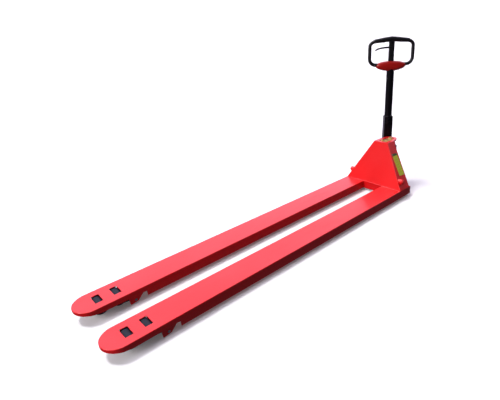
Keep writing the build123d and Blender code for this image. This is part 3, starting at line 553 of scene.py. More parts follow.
class Finish(Enum):
    """Every finish on the truck."""

    RED = PaintFinish(
        "red_gloss_paint",
        rgb(0.80, 0.006, 0.007),
        rgb(0.82, 0.010, 0.014),
        # scratch colour, and colour of the painted highlight along sharp edges
        rgb(0.95, 0.14, 0.17),
        rgb(0.60, 0.20, 0.22),
        0.30,
        0.36,
    )
    BLACK = PaintFinish(
        "black_satin_paint",
        rgb(0.003, 0.003, 0.005),
        rgb(0.006, 0.006, 0.008),
        # scratch colour, and colour of the painted highlight along sharp edges
        rgb(0.06, 0.06, 0.07),
        rgb(0.06, 0.058, 0.055),
        0.38,
        0.02,
        1.0 * MM,
        # strength of the painted edge highlight
        0.25,
        0.12,
        0.16,
    )
    GRIP = PlasticFinish(
        "soft_black_grip", rgb(0.003, 0.003, 0.005), rgb(0.010, 0.010, 0.013), 0.44, 0.06 * MM
    )
    INSERT = PlasticFinish(
        "dark_red_insert", rgb(0.46, 0.006, 0.003), rgb(0.52, 0.014, 0.010), 0.32, 0.03 * MM, 0.2
    )
    CAST = CastFinish("dark_pump_casting", rgb(0.016, 0.017, 0.020), rgb(0.35, 0.34, 0.32))
    HUB = CastFinish("grey_wheel_hub", rgb(0.055, 0.058, 0.064), rgb(0.40, 0.40, 0.40))
    ZINC = MetalFinish(
        "yellow_zinc",
        (
            (0.0, rgb(0.42, 0.25, 0.09)),
            (0.45, rgb(0.72, 0.47, 0.17)),
            (0.75, rgb(0.62, 0.50, 0.22)),
            (1.0, rgb(0.50, 0.33, 0.20)),
        ),
        0.24,
    )
    STEEL = MetalFinish(
        "machined_steel", ((0.0, rgb(0.36, 0.36, 0.37)), (1.0, rgb(0.60, 0.60, 0.61))), 0.24, 0.02
    )
    CHROME = MetalFinish(
        "hard_chrome", ((0.0, rgb(0.70, 0.71, 0.73)), (1.0, rgb(0.80, 0.80, 0.82))), 0.07
    )
    ROLLER = TyreFinish("roller_polyurethane", rgb(0.008, 0.012, 0.022), rgb(0.020, 0.026, 0.040), 0.32)
    TYRE = TyreFinish("steering_tyre_rubber", rgb(0.012, 0.012, 0.013), rgb(0.07, 0.065, 0.06), 0.5)
    LABEL = LabelFinish("blank_information_film", 0.182, 0.346)
    FLOOR = FloorFinish("pale_floor", 0.86)
    WALL = FloorFinish("pale_wall", 0.86, 1.35)

    def material(self) -> bpy.types.Material:
        """The one shared material of this finish."""
        found = bpy.data.materials.get(self.value.name)
        return found or self.value.build()


# ---------------------------------------------------------------- mesh kit
Ring = list[Vector]
Profile = Iterable[tuple[float, float]]


def new_object(name: str, work: bmesh.types.BMesh, finish: Finish) -> bpy.types.Object:
    """Turn a bmesh into an object of the scene.

    Args:
        name: Name of the object.
        work: The mesh, freed afterwards.
        finish: Its finish.

    Returns:
        The new object.
    """
    mesh = bpy.data.meshes.new(name)
    work.to_mesh(mesh)
    work.free()
    mesh.materials.append(finish.material())
    made = bpy.data.objects.new(name, mesh)
    bpy.context.scene.collection.objects.link(made)
    return made


def new_piece(
    name: str, work: bmesh.types.BMesh, finish: Finish, body: str, smooth: float = 40.0
) -> bpy.types.Object:
    """Turn a bmesh into a dressed piece that rides on a body.

    Args:
        name: Name of the piece.
        work: The mesh in the row frame, in metres.
        finish: Its finish.
        body: CAD body that it rides on.
        smooth: Edges sharper than this many degrees stay crisp.

    Returns:
        The new object.
    """
    bmesh.ops.remove_doubles(work, verts=work.verts, dist=1e-6)
    bmesh.ops.recalc_face_normals(work, faces=work.faces)
    for face in work.faces:
        face.smooth = True
    for edge in work.edges:
        if len(edge.link_faces) == 2:
            edge.smooth = edge.calc_face_angle() < math.radians(smooth)
    piece = new_object(name, work, finish)
    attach(piece, body)
    LOG.info("built %s on %s with %d faces", name, body, len(piece.data.polygons))
    return piece


def bridge_rings(work: bmesh.types.BMesh, rings: Sequence[Ring], closed: bool, caps: bool = True) -> None:
    """Skin a run of rings that all have the same number of points.

    Args:
        work: Mesh that gets the faces.
        rings: The rings in order.
        closed: Whether the last ring joins the first.
        caps: Whether open ends are filled.
    """
    rows = [[work.verts.new(point) for point in ring] for ring in rings]
    count = len(rows[0])
    spans = list(zip(rows, rows[1:]))
    if closed:
        spans.append((rows[-1], rows[0]))
    for here, there in spans:
        for i in range(count):
            j = (i + 1) % count
            work.faces.new((here[i], here[j], there[j], there[i]))
    if caps and not closed:
        work.faces.new(rows[0])
        work.faces.new(rows[-1])


def oval(centre: Vector, across: Vector, up: Vector, steps: int, power: float = 2.0) -> Ring:
    """Closed superellipse.

    Args:
        centre: Its middle.
        across: First half axis.
        up: Second half axis.
        steps: Number of points.
        power: Two is an ellipse, more is squarer.

    Returns:
        The points.
    """
    ring = []
    for i in range(steps):
        angle = 2 * math.pi * i / steps
        c = math.cos(angle)
        s = math.sin(angle)
        ring.append(
            centre
            + across * math.copysign(abs(c) ** (2 / power), c)
            + up * math.copysign(abs(s) ** (2 / power), s)
        )
    return ring


def lathe(
    work: bmesh.types.BMesh, centre: Vector, axis: Vector, profile: Profile, steps: int = 48
) -> None:
    """Turn a closed profile round an axis.

    Args:
        work: Mesh that gets the faces.
        centre: Point on the axis.
        axis: Direction of the axis.
        profile: Radius and distance along the axis of each corner, in metres.
        steps: Number of steps round.
    """
    along = axis.normalized()
    side = along.orthogonal().normalized()
    other = along.cross(side)
    points = list(profile)
    rings = []
    for i in range(steps):
        angle = 2 * math.pi * i / steps
        out = side * math.cos(angle) + other * math.sin(angle)
        rings.append([centre + out * radius + along * travel for radius, travel in points])
    bridge_rings(work, rings, True)


def hex_head(work: bmesh.types.BMesh, foot: Vector, axis: Vector, flats: float, height: float) -> None:
    """Hexagon bolt head with a washer face and a domed top.

    Args:
        work: Mesh that gets the faces.
        foot: Centre of the seat.
        axis: Direction out of the seat.
        flats: Width across flats.
        height: Height of the head.
    """
    along = axis.normalized()
    side = along.orthogonal().normalized()
    other = along.cross(side)
    corner = flats / math.sqrt(3.0)
    washer = [foot + (side * math.cos(a) + other * math.sin(a)) * corner * 1.18 for a in turns(36)]
    bridge_rings(work, [washer, [p + along * height * 0.18 for p in washer]], False)
    levels = ((0.18, 1.0), (0.86, 1.0), (1.0, 0.84))
    rings = []
    for rise, spread in levels:
        base = foot + along * height * rise
        rings.append([base + (side * math.cos(a) + other * math.sin(a)) * corner * spread for a in turns(6)])
    bridge_rings(work, rings, False)


def turns(count: int) -> list[float]:
    """Angles evenly round a circle."""
    return [2 * math.pi * i / count for i in range(count)]


def weld_bead(
    work: bmesh.types.BMesh, start: Vector, end: Vector, out: Vector, radius: float, seed: int
) -> None:
    """Rippled weld bead between two points.

    Args:
        work: Mesh that gets the faces.
        start: First end.
        end: Last end.
        out: Direction that the bead faces.
        radius: Half its width.
        seed: Seed of its unevenness.
    """
    dice = random.Random(seed)
    along = (end - start).normalized()
    face = (out - along * out.dot(along)).normalized()
    across = along.cross(face)
    count = max(8, int((end - start).length / (2.2 * MM)))
    rings = []
    for i in range(count + 1):
        share = i / count
        taper = min(1.0, 10 * share + 0.15, 10 * (1 - share) + 0.15)
        ripple = 1.0 + 0.14 * math.sin(i * 2.1) + dice.uniform(-0.05, 0.05)
        middle = start.lerp(end, share)
        size = radius * taper * ripple
        rings.append(oval(middle, across * size, face * size * 0.62, 10))
    bridge_rings(work, rings, False)


# ---------------------------------------------------------------- the frame
@dataclass(frozen=True)
class Steering:
    """Where the steered group stands: its king-pin and its resting turn."""

    pin_x: float
    forward: Vector
    left: Vector

    @classmethod
    def from_frame(cls) -> Steering:
        """Read the king-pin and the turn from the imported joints.

        Returns:
            The steering frame.
        """
        joints = {joint["name"]: joint for joint in frame["joints"]}
        pin = Vector(joints["steer"]["pos_m"])
        forward = pin - Vector(joints["handle_tilt"]["pos_m"])
        forward.z = 0.0
        forward.normalize()
        return cls(pin.x, forward, Vector((0, 0, 1)).cross(forward))

    def at(self, ahead: float, left: float, height: float) -> Vector:
        """A point given in the steered group's own directions.

        Args:
            ahead: Distance ahead of the king-pin, towards the forks when straight.
            left: Distance to the left.
            height: Height over the floor.

        Returns:
            The point in the row frame.
        """
        return Vector((self.pin_x, 0, height)) + self.forward * ahead + self.left * left


STEER = Steering.from_frame()
UP = Vector((0, 0, 1))


@dataclass(frozen=True)
class Box:
    """Low and high corner of a CAD node."""

    low: Vector
    high: Vector

    @classmethod
    def of(cls, node: str) -> Box:
        """Box of a CAD node."""
        low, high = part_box(node)
        return cls(low, high)

    @property
    def middle(self) -> Vector:
        """Centre of the box."""
        return (self.low + self.high) / 2


# ---------------------------------------------------------------- sub-assemblies
@dataclass
class Handle:
    """Grip loop, insert, centre post, lever and trim of the steering handle."""

    cad_bar_radius: float = 14.5 * MM
    bar_radius: float = 13.6 * MM
    top_radius: float = 19.4 * MM
    corner: float = 52 * MM
    shoulder_drop: float = 19 * MM
    insert_half_width: float = 129.5 * MM
    insert_half_height: float = 40.5 * MM
    insert_half_depth: float = 34 * MM
    insert_drop: float = 11 * MM
    post_half_width: float = 23 * MM
    post_half_depth: float = 12 * MM
    tube_radius: float = 31.5 * MM

    def __post_init__(self) -> None:
        """Take the main places from the CAD nodes."""
        tube = Box.of("handle_tube")
        loop = Box.of("grip_loop")
        offset = tube.middle - Vector((STEER.pin_x, 0, 0))
        self.ahead = offset.dot(STEER.forward)
        self.loop_top = loop.high.z - self.top_radius
        self.loop_bottom = loop.low.z + self.cad_bar_radius
        reach = loop.high.x - loop.low.x - 2 * self.cad_bar_radius
        self.half_width = reach / abs(STEER.left.x) / 2
        self.lever_height = self.loop_top - 65 * MM

    def at(self, left: float, height: float, ahead: float = 0.0) -> Vector:
        """A point in the plane of the loop.

        Args:
            left: Distance to the left of the tube.
            height: Height over the floor.
            ahead: Distance in front of the plane.

        Returns:
            The point in the row frame.
        """
        return STEER.at(self.ahead + ahead, left, height)

    def loop_line(self) -> list[tuple[float, float, float, float]]:
        """Centre line of the loop.

        Returns:
            Left, height and the outward direction at each point, as left and up parts.
        """
        points = []
        low = self.loop_bottom
        high = self.loop_top
        centres = (
            (self.half_width - self.corner, high - self.corner, 0),
            (-self.half_width + self.corner, high - self.corner, 1),
            (-self.half_width + self.corner, low + self.corner, 2),
            (self.half_width - self.corner, low + self.corner, 3),
        )
        for left, height, quarter in centres:
            for i in range(13):
                angle = math.pi / 2 * (quarter + i / 12)
                c = math.cos(angle)
                s = math.sin(angle)
                points.append((left + self.corner * c, height + self.corner * s, c, s))
            points.extend(self.straight(left, height, quarter))
        return points

    def straight(self, left: float, height: float, quarter: int) -> list[tuple[float, float, float, float]]:
        """Points of the straight run that follows a corner.

        Args:
            left: Left place of the corner's centre.
            height: Height of the corner's centre.
            quarter: Which corner it is, counted from the upper left of the loop.

        Returns:
            The points between this corner and the next.
        """
        angle = math.pi / 2 * (quarter + 1)
        c = math.cos(angle)
        s = math.sin(angle)
        spans = (
            2 * (self.half_width - self.corner),
            self.loop_top - self.loop_bottom - 2 * self.corner,
        )
        span = spans[quarter % 2]
        steps = 24
        run = []
        for i in range(1, steps):
            travel = span * i / steps
            run.append((left + self.corner * c - s * travel, height + self.corner * s + c * travel, c, s))
        return run

    def build_loop(self) -> None:
        """Closed loop with a thick, peaked top bar and slim sides."""
        work = bmesh.new()
        rings = []
        middle_height = (self.loop_top + self.loop_bottom) / 2
        for left, height, c, s in self.loop_line():
            share = max(0.0, 1 - abs(left) / self.half_width)
            top = max(0.0, s) if height > self.loop_top - 2 * MM else 0.0
            swell = self.bar_radius + (self.top_radius - self.bar_radius) * top * min(1.0, 1.6 * share)
            over = max(0.0, (height - middle_height) / (self.loop_top - middle_height))
            middle = self.at(left, height - self.shoulder_drop * (1 - share) * over**2)
            out = (STEER.left * c + UP * s).normalized()
            depth = STEER.forward * (self.bar_radius + (swell - self.bar_radius) * 0.5)
            rings.append(oval(middle, out * swell, depth, 24))
        bridge_rings(work, rings, True)
        piece = new_piece("grip_loop_moulding", work, Finish.GRIP, "handle")
        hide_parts("grip_loop")

    def build_sleeves(self) -> None:
        """Ribbed finger sleeves on both sides of the loop."""
        for sign, side in ((1, "left"), (-1, "right")):
            work = bmesh.new()
            low = self.loop_bottom + self.corner + 4 * MM
            high = self.loop_top - self.corner - 4 * MM
            steps = 60
            rings = []
            for i in range(steps + 1):
                share = i / steps
                rib = 0.22 * MM * (1 + math.cos(2 * math.pi * share * 14))
                ease = min(1.0, 12 * share, 12 * (1 - share))
                size = self.bar_radius + 0.05 * MM + (0.35 * MM + rib) * ease
                middle = self.at(sign * self.half_width, low + (high - low) * share)
                rings.append(oval(middle, STEER.left * size, STEER.forward * size, 28))
            bridge_rings(work, rings, False)
            new_piece(f"finger_sleeve_{side}", work, Finish.GRIP, "handle")

    def build_insert(self) -> None:
        """Lens-shaped domed insert across the foot of the loop."""
        work = bmesh.new()
        centre = self.loop_bottom - self.insert_drop
        levels = 14
        steps = 72
        rings = []
        for k in range(-levels, levels + 1):
            turn = math.pi / 2 * k / levels
            spread = max(0.02, math.cos(turn) ** 0.55)
            depth = self.insert_half_depth * math.sin(turn)
            ring = []
            for angle in turns(steps):
                c = math.cos(angle)
                s = math.sin(angle)
                left = self.insert_half_width * spread * c
                rise = self.insert_half_height * spread * math.copysign(abs(s) ** 1.05, s)
                bow = 4 * MM * (left / self.insert_half_width) ** 2
                ring.append(self.at(left, centre + rise + bow, depth))
            rings.append(ring)
        bridge_rings(work, rings, False)
        piece = new_piece("insert_moulding", work, Finish.INSERT, "handle")
        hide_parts("guard_insert")

    def build_post(self) -> None:
        """Centre post that tapers from the insert to the top bar."""
        work = bmesh.new()
        rings = []
        steps = 26
        low = self.loop_bottom
        high = self.loop_top - 3 * MM
        for i in range(steps + 1):
            share = i / steps
            flare = 4 * MM * (abs(2 * share - 1) ** 5)
            wide = self.post_half_width - 1.0 * MM * share + flare
            middle = self.at(0, low + (high - low) * share)
            rings.append(oval(middle, STEER.left * wide, STEER.forward * self.post_half_depth, 32, 5.0))
        bridge_rings(work, rings, False)
        piece = new_piece("post_moulding", work, Finish.GRIP, "handle")
        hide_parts("centre_post")
        screws = bmesh.new()
        for height in (low + 70 * MM, high - 24 * MM):
            for sign in (1, -1):
                foot = self.at(0, height, sign * self.post_half_depth)
                out = STEER.forward * sign
                dome = (
                    (0.0, 0.0),
                    (6 * MM, 0.0),
                    (5.4 * MM, 1.2 * MM),
                    (2.6 * MM, 1.9 * MM),
                    (2.6 * MM, 0.6 * MM),
                    (0.0, 0.6 * MM),
                )
                lathe(screws, foot, out, dome, 24)
        new_piece("post_screws", screws, Finish.BLACK, "handle")

    def build_lever(self) -> None:
        """Control lever that reaches across the loop and curls down at its end."""
        work = bmesh.new()
        face = self.post_half_depth + 1.6 * MM
        line = (
            (-2 * MM, 1 * MM, face + 2 * MM, 7.0 * MM),
            (-22 * MM, 2 * MM, face + 2 * MM, 7.2 * MM),
            (-37 * MM, 1 * MM, face - 3 * MM, 7.2 * MM),
            (-50 * MM, 0.0, 2 * MM, 7.0 * MM),
            (-70 * MM, -2 * MM, 0.0, 6.8 * MM),
            (-90 * MM, -4 * MM, 0.0, 6.6 * MM),
            (-112 * MM, -8 * MM, 0.0, 6.4 * MM),
            (-128 * MM, -16 * MM, 0.0, 6.0 * MM),
            (-139 * MM, -25 * MM, 0.0, 3.4 * MM),
        )
        rings = []
        points = [self.at(left, self.lever_height + rise, ahead) for left, rise, ahead, _ in line]
        for i, (_, _, _, half) in enumerate(line):
            before = points[max(0, i - 1)]
            after = points[min(len(points) - 1, i + 1)]
            along = (after - before).normalized()
            across = (UP - along * along.z).normalized()
            depth = along.cross(across).normalized()
            rings.append(oval(points[i], across * half, depth * min(half, 5.4 * MM), 20, 2.6))
        bridge_rings(work, rings, False)
        hub = self.at(0, self.lever_height, self.post_half_depth + 0.4 * MM)
        cup = (
            (0.0, 0.0),
            (13 * MM, 0.0),
            (12.4 * MM, 4.6 * MM),
            (10 * MM, 6.0 * MM),
            (5 * MM, 6.4 * MM),
            (0.0, 5.2 * MM),
        )
        lathe(work, hub, STEER.forward, cup, 40)
        piece = new_piece("lever_moulding", work, Finish.GRIP, "control_lever")
        smooth = piece.modifiers.new("smooth", "SUBSURF")
        smooth.levels = 1
        smooth.render_levels = 1
        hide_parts("control_lever")

    def build_trim(self) -> None:
        """Collar weld where the tube leaves the yoke."""
        yoke = Box.of("yoke")
        tube = self.tube_radius
        collar = bmesh.new()
        foot = self.at(0, yoke.high.z)
        bead = (
            (tube, 0.0),
            (tube + 5 * MM, 0.0),
            (tube + 4.6 * MM, 2.4 * MM),
            (tube + 2 * MM, 4.6 * MM),
            (tube + 0.1 * MM, 5.4 * MM),
        )
        lathe(collar, foot, UP, bead)
        new_piece("tube_weld", collar, Finish.BLACK, "handle")

    def build(self) -> None:
        """Build every piece of the handle."""
        self.build_loop()
        self.build_sleeves()
        self.build_insert()
        self.build_post()
        self.build_lever()
        self.build_trim()


@dataclass
class Hood:
    """Welds, rivets and bolts on the hood and the fork heels."""

    bead: float = 3.0 * MM
    rivet: float = 2.6 * MM
    label_turn: float = 5.0
    rivet_half_width: float = 27 * MM
    rivet_half_height: float = 90 * MM
    rim_radius: float = 51 * MM
    rim_half: float = 2.8 * MM
    rim_depth: float = 16 * MM

    def __post_init__(self) -> None:
        """Take the corners of the hood from the CAD nodes."""
        plate = Box.of("front_plate")
        fork = Box.of("fork_left")
        side = Box.of("side_plate_left")
        self.base_front = plate.high.x
        self.top_front = plate.low.x + 5 * MM
        self.base_height = fork.high.z
        self.top_height = plate.high.z
        self.half_base = fork.high.y
        self.half_top = side.low.y + 5 * MM
        self.rear_base = side.low.x + 54 * MM
        self.gap_half = fork.low.y

    def build_seams(self) -> None:
        """Weld beads round the front plate and along the side plates."""
        work = bmesh.new()
        foot = Vector((self.base_front, 0, self.base_height))
        half = Vector((0, self.half_base - 8 * MM, 0))
        weld_bead(work, foot - half, foot + half, Vector((1, 0, 1)), self.bead * 1.15, 3)
        for sign in (1, -1):
            low_side = sign * (self.half_base - 4 * MM)
            high_side = sign * (self.half_top - 2 * MM)
            low = Vector((self.base_front - 2 * MM, low_side, self.base_height + 1 * MM))
            high = Vector((self.top_front - 1 * MM, high_side, self.top_height - 3 * MM))
            weld_bead(work, low, high, Vector((1, sign, 0.4)), self.bead * 0.8, 11 + sign)
            rear = Vector((self.rear_base, sign * (self.half_base - 4.5 * MM), self.base_height + 0.5 * MM))
            weld_bead(work, rear, low, Vector((0, -sign, 0.9)), self.bead * 0.7, 21 + sign)
            inner = sign * self.gap_half
            joint = Vector((self.base_front - 1 * MM, inner, self.base_height - 60 * MM))
            weld_bead(work, joint, joint + UP * 56 * MM, Vector((1, -sign, 0)), self.bead * 0.8, 31 + sign)
        new_piece("hood_welds", work, Finish.RED, "chassis")

    def build_label_rivets(self) -> None:
        """Four domed rivets at the corners of the information plate."""
        label = Box.of("label_plate")
        climb = Vector((0, label.low.y - label.high.y, label.high.z - label.low.z)).normalized()
        out = Vector((1, 0, 0)).cross(climb)
        out = out if out.y > 0 else -out
        c = math.cos(math.radians(self.label_turn))
        s = math.sin(math.radians(self.label_turn))
        wide = Vector((c, 0, 0)) + climb * s
        tall = climb * c - Vector((s, 0, 0))
        size = self.rivet
        dome = (
            (0.0, 0.0),
            (size, 0.0),
            (size * 0.85, size * 0.45),
            (size * 0.45, size * 0.7),
            (0.0, size * 0.75),
        )
        work = bmesh.new()
        for across in (-self.rivet_half_width, self.rivet_half_width):
            for up in (-self.rivet_half_height, self.rivet_half_height):
                foot = label.middle + wide * across + tall * up + out * 0.2 * MM
                lathe(work, foot, out, dome, 20)
        new_piece("label_rivets", work, Finish.STEEL, "chassis")

    def build_head_bolts(self) -> None:
        """Hexagon bolts that hold the saddle under the head plate."""
        saddle = Box.of("saddle_plate")
        work = bmesh.new()
        for sign in (1, -1):
            foot = Vector((STEER.pin_x + 86 * MM, sign * 26 * MM, saddle.high.z))
            hex_head(work, foot, UP, 13 * MM, 5 * MM)
        new_piece("saddle_bolts", work, Finish.ZINC, "chassis")

    def build_head_rim(self) -> None:
        """Rounded rim that stiffens the back edge of the head plate."""
        head = Box.of("head_plate")
        work = bmesh.new()
        rings = []
        steps = 40
        for i in range(steps + 1):
            angle = math.radians(90 + 180 * i / steps)
            out = Vector((math.cos(angle), math.sin(angle), 0))
            middle = Vector((STEER.pin_x, 0, head.high.z - self.rim_depth / 2)) + out * self.rim_radius
            rings.append(oval(middle, out * self.rim_half, UP * self.rim_depth / 2, 16, 3.0))
        bridge_rings(work, rings, False)
        new_piece("head_rim", work, Finish.RED, "chassis")

    def build(self) -> None:
        """Build every piece of the hood."""
        self.build_seams()
        self.build_label_rivets()
        self.build_head_bolts()
        self.build_head_rim()


@dataclass
class PumpTrim:
    """Bolts, plugs and seals of the pump unit and the steering wheels."""

    bolt: float = 10 * MM

    def build_casting_bolts(self) -> None:
        """Bolts on the casting flanks and the oil filler plug."""
        work = bmesh.new()
        for ahead in (-22 * MM, 22 * MM):
            for height in (150 * MM, 182 * MM):
                for sign in (1, -1):
                    foot = STEER.at(ahead, sign * 30 * MM, height)
                    hex_head(work, foot, STEER.left * sign, 7 * MM, 2.6 * MM)
        plug = STEER.at(38 * MM, 26 * MM, Box.of("reservoir").high.z)
        hex_head(work, plug, UP, self.bolt, 5 * MM)
        new_piece("casting_bolts", work, Finish.ZINC, "pump_unit")

    def build_reservoir_bands(self) -> None:
        """Two raised bands round the oil reservoir."""
        tank = Box.of("reservoir")
        work = bmesh.new()
        radius = 58 * MM
        for height in (tank.low.z + 14 * MM, tank.low.z + 35 * MM):
            centre = Vector((STEER.pin_x, 0, height))
            band = (
                (radius - 1 * MM, -2 * MM),
                (radius + 0.8 * MM, -1.4 * MM),
                (radius + 0.8 * MM, 1.4 * MM),
                (radius - 1 * MM, 2 * MM),
            )
            lathe(work, centre, UP, band, 72)
        new_piece("reservoir_bands", work, Finish.CAST, "pump_unit")

    def build_wheel_seals(self) -> None:
        """Bearing seals in both faces of each steering wheel."""
        for sign, side in ((1, "left"), (-1, "right")):
            wheel = Box.of(f"steer_tyre_{side}")
            work = bmesh.new()
            middle = wheel.middle
            half = 25 * MM
            for face in (1, -1):
                seat = middle + STEER.left * face * (half - 1.2 * MM)
                ring = (
                    (11.5 * MM, 0.0),
                    (20.5 * MM, 0.0),
                    (20.5 * MM, 1.5 * MM),
                    (17.5 * MM, 1.8 * MM),
                    (15.0 * MM, 1.2 * MM),
                    (12.5 * MM, 1.8 * MM),
                    (11.5 * MM, 1.6 * MM),
                )
                lathe(work, seat, STEER.left * face, ring, 48)
                for angle in turns(5):
                    out = (STEER.forward * math.cos(angle) + UP * math.sin(angle)) * 40 * MM
                    foot = middle + out + STEER.left * face * (half - 11 * MM)
                    hex_head(work, foot, STEER.left * face, 9 * MM, 4 * MM)
            new_piece(f"steer_wheel_seals_{side}", work, Finish.STEEL, f"steer_wheel_{side}")

    def build_tyre_ridges(self) -> None:
        """Moulding ridges on both shoulders of each steering tyre."""
        for side in ("left", "right"):
            tyre = Box.of(f"steer_tyre_{side}")
            work = bmesh.new()
            for face in (1, -1):
                seat = tyre.middle + STEER.left * face * 24.6 * MM
                ridge = ((74 * MM, 0.0), (78 * MM, 0.0), (77.4 * MM, 1.0 * MM), (74.6 * MM, 1.0 * MM))
                lathe(work, seat, STEER.left * face, ridge, 96)
            new_piece(f"tyre_ridges_{side}", work, Finish.TYRE, f"steer_wheel_{side}")

    def build(self) -> None:
        """Build every piece of the pump trim."""
        self.build_casting_bolts()
        self.build_reservoir_bands()
        self.build_wheel_seals()
        self.build_tyre_ridges()


@dataclass
class LoadRollers:
    """Bearing seals of the load rollers, and black plates beside them that are painted shade."""

    half_width: float = 35 * MM
    # sizes of the black plates that stand in for the shade in the fork windows beside the rollers
    shade_plate_inside: float = 37.4 * MM
    shade_plate_thick: float = 4 * MM
    shade_plate_half_length: float = 70 * MM
    shade_plate_low: float = 47 * MM
    shade_plate_high: float = 79.5 * MM

    def build_shade_plates(self) -> None:
        """Build rounded black plates on both cheeks of each bogie, painted shade that darkens the fork windows
        beside the rollers.
        """
        for side in ("left", "right"):
            hubs = (Box.of(f"front_roller_hub_{side}"), Box.of(f"rear_roller_hub_{side}"))
            middle = (hubs[0].middle + hubs[1].middle) / 2
            middle.z = (self.shade_plate_low + self.shade_plate_high) / 2
            half_height = (self.shade_plate_high - self.shade_plate_low) / 2
            work = bmesh.new()
            for face in (1, -1):
                rings = []
                for reach, inset in ((0.0, 1.0), (0.2, 0.0), (0.8, 0.0), (1.0, 1.0)):
                    centre = middle + Vector((0, face * (self.shade_plate_inside + self.shade_plate_thick * reach), 0))
                    across = Vector((self.shade_plate_half_length - inset * MM, 0, 0))
                    rings.append(oval(centre, across, UP * (half_height - inset * MM), 64, 7.0))
                bridge_rings(work, rings, False)
            # painted shade: black plates that darken the gap between roller and fork window, where there is only
            # shade
            new_piece(f"roller_shade_plates_{side}", work, Finish.BLACK, f"bogie_{side}")

    def build_seals(self) -> None:
        """Build a seal in each face of the four rollers."""
        for place in ("front", "rear"):
            for side in ("left", "right"):
                hub = Box.of(f"{place}_roller_hub_{side}")
                work = bmesh.new()
                for face in (1, -1):
                    seat = hub.middle + Vector((0, face * (self.half_width - 3 * MM), 0))
                    ring = (
                        (9.6 * MM, 0.0),
                        (20.6 * MM, 0.0),
                        (20.6 * MM, 1.8 * MM),
                        (18.4 * MM, 2.2 * MM),
                        (15.0 * MM, 1.4 * MM),
                        (11.6 * MM, 2.2 * MM),
                        (9.6 * MM, 2.0 * MM),
                    )
                    lathe(work, seat, Vector((0, face, 0)), ring, 40)
                name = f"{place}_roller_seals_{side}"
                new_piece(name, work, Finish.STEEL, f"{place}_roller_{side}")

    def build(self) -> None:
        """Build every piece round the load rollers."""
        self.build_seals()
        self.build_shade_plates()


# ---------------------------------------------------------------- dressing and stage
@dataclass(frozen=True)
class Wardrobe:
    """Which finish each record slot takes on the carried-over CAD nodes."""

    by_slot: tuple = (
        ("red_paint", Finish.RED),
        ("black_paint", Finish.BLACK),
        ("black_grip", Finish.GRIP),
        ("red_plastic", Finish.INSERT),
        ("casting", Finish.CAST),
        ("yellow_zinc", Finish.ZINC),
        ("bright_steel", Finish.STEEL),
        ("hard_chrome", Finish.CHROME),
        ("label", Finish.LABEL),
        ("hub", Finish.STEEL),
        ("steer_hub", Finish.HUB),
        ("roller_tyre", Finish.ROLLER),
        ("steer_tyre", Finish.TYRE),
    )

    def dress(self) -> None:
        """Give every CAD node the finish of its slot."""
        finish_of = dict(self.by_slot)
        for part in frame["record"]["subparts"]:
            node = frame["nodes"][part["node"]]
            material = finish_of[part["material_slot"]].material()
            node.data.materials.clear()
            node.data.materials.append(material)
        LOG.info("dressed %d CAD nodes", len(frame["nodes"]))


@dataclass(frozen=True)
class Lamp:
    """One broad soft light that falls evenly over the whole floor."""

    name: str
    source: tuple[float, float, float]
    strength: float
    spread: float
    tint: tuple[float, float, float] = (1.0, 1.0, 1.0)

    def build(self) -> None:
        """Add the light to the scene."""
        data = bpy.data.lights.new(self.name, "SUN")
        data.energy = self.strength
        data.angle = math.radians(self.spread)
        data.color = self.tint
        lamp = bpy.data.objects.new(self.name, data)
        lamp.rotation_euler = (-Vector(self.source)).to_track_quat("-Z", "Y").to_euler()
        bpy.context.scene.collection.objects.link(lamp)


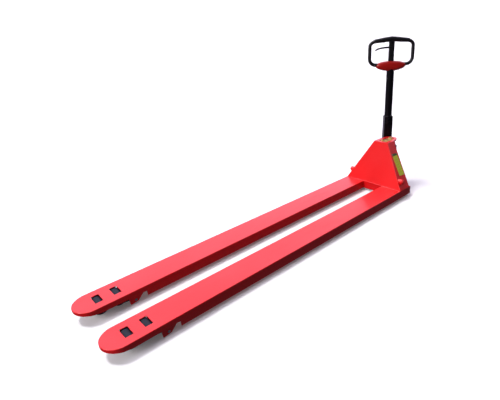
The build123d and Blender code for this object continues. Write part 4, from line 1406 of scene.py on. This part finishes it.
@dataclass
class Studio:
    """Pale floor, sky, lamps and camera."""

    eye: tuple[float, float, float] = (1.7527, 1.8876, 1.4596)
    heading: float = 226.005
    dip: float = 24.410
    roll: float = -2.417
    lens: float = 29.375
    shift_x: float = -0.0963
    shift_y: float = -0.0061
    floor_size: float = 60.0
    wall_radius: float = 50.0
    sky_side: tuple[float, float, float] = (-0.60, -0.65, 0.47)
    sky_from: float = 0.15
    sky_to: float = 0.75
    sky_dim: float = 0.07
    sky_bright: float = 1.3
    sky_tint: tuple[float, float, float, float] = (0.92, 0.82, 1.05, 1.0)
    lamps: tuple[Lamp, ...] = (
        Lamp("key_light", (0.18, -0.34, 1.0), 1.95, 12.0),
        Lamp("front_light", (0.95, -0.10, 0.52), 2.25, 24.0),
    )

    def build_floor(self) -> None:
        """Large pale floor that throws no light back at the truck."""
        work = bmesh.new()
        bmesh.ops.create_grid(work, x_segments=4, y_segments=4, size=self.floor_size)
        floor = new_object("studio_floor", work, Finish.FLOOR)
        floor.visible_diffuse = False
        floor.visible_glossy = False

    def build_wall(self) -> None:
        """Pale dome that closes the view in every direction and takes no part in the light."""
        work = bmesh.new()
        bmesh.ops.create_icosphere(work, subdivisions=4, radius=self.wall_radius)
        wall = new_object("studio_wall", work, Finish.WALL)
        wall.visible_diffuse = False
        wall.visible_glossy = False
        wall.visible_transmission = False
        wall.visible_shadow = False

    def build_sky(self) -> None:
        """Sky that is bright over and behind the truck and dim in front of it."""
        world = bpy.data.worlds.new("studio_sky")
        bpy.context.scene.world = world
        world.use_nodes = True
        tree = world.node_tree
        tree.nodes.clear()
        place = tree.nodes.new("ShaderNodeTexCoord")
        dot = tree.nodes.new("ShaderNodeVectorMath")
        dot.operation = "DOT_PRODUCT"
        dot.inputs[1].default_value = self.sky_side
        ramp = tree.nodes.new("ShaderNodeMapRange")
        ramp.interpolation_type = "SMOOTHSTEP"
        ramp.inputs["From Min"].default_value = self.sky_from
        ramp.inputs["From Max"].default_value = self.sky_to
        ramp.inputs["To Min"].default_value = self.sky_dim
        ramp.inputs["To Max"].default_value = self.sky_bright
        sky = tree.nodes.new("ShaderNodeBackground")
        sky.inputs["Color"].default_value = self.sky_tint
        out = tree.nodes.new("ShaderNodeOutputWorld")
        tree.links.new(place.outputs["Generated"], dot.inputs[0])
        tree.links.new(dot.outputs["Value"], ramp.inputs["Value"])
        tree.links.new(ramp.outputs["Result"], sky.inputs["Strength"])
        tree.links.new(sky.outputs["Background"], out.inputs["Surface"])

    def build_lamps(self) -> None:
        """High key light over the truck and a low one on its front plate."""
        for lamp in self.lamps:
            lamp.build()

    def build_camera(self) -> None:
        """Camera at the viewing angle."""
        data = bpy.data.cameras.new("view")
        data.sensor_width = 36.0
        data.lens = self.lens
        data.shift_x = self.shift_x
        data.shift_y = self.shift_y
        camera = bpy.data.objects.new("view", data)
        yaw = math.radians(self.heading)
        pitch = math.radians(-self.dip)
        roll = math.radians(self.roll)
        look = Vector((math.cos(pitch) * math.cos(yaw), math.cos(pitch) * math.sin(yaw), math.sin(pitch)))
        right = look.cross(UP).normalized()
        top = right.cross(look)
        across = right * math.cos(roll) + top * math.sin(roll)
        up = top * math.cos(roll) - right * math.sin(roll)
        turn = Matrix((across, up, -look)).transposed().to_4x4()
        camera.matrix_world = Matrix.Translation(Vector(self.eye)) @ turn
        bpy.context.scene.collection.objects.link(camera)
        bpy.context.scene.camera = camera

    def build(self) -> None:
        """Set the stage."""
        self.build_floor()
        self.build_wall()
        self.build_sky()
        self.build_lamps()
        self.build_camera()
        view = bpy.context.scene.view_settings
        view.view_transform = "Standard"
        view.look = "None"


def main() -> None:
    """Dress the frame, build every sub-assembly and set the stage."""
    logging.basicConfig(level=logging.INFO, format="%(name)s: %(message)s")
    Wardrobe().dress()
    builders: tuple[Callable[[], None], ...] = (
        Handle().build,
        Hood().build,
        PumpTrim().build,
        LoadRollers().build,
        Studio().build,
    )
    for build in builders:
        build()


if __name__ == "__main__":
    main()
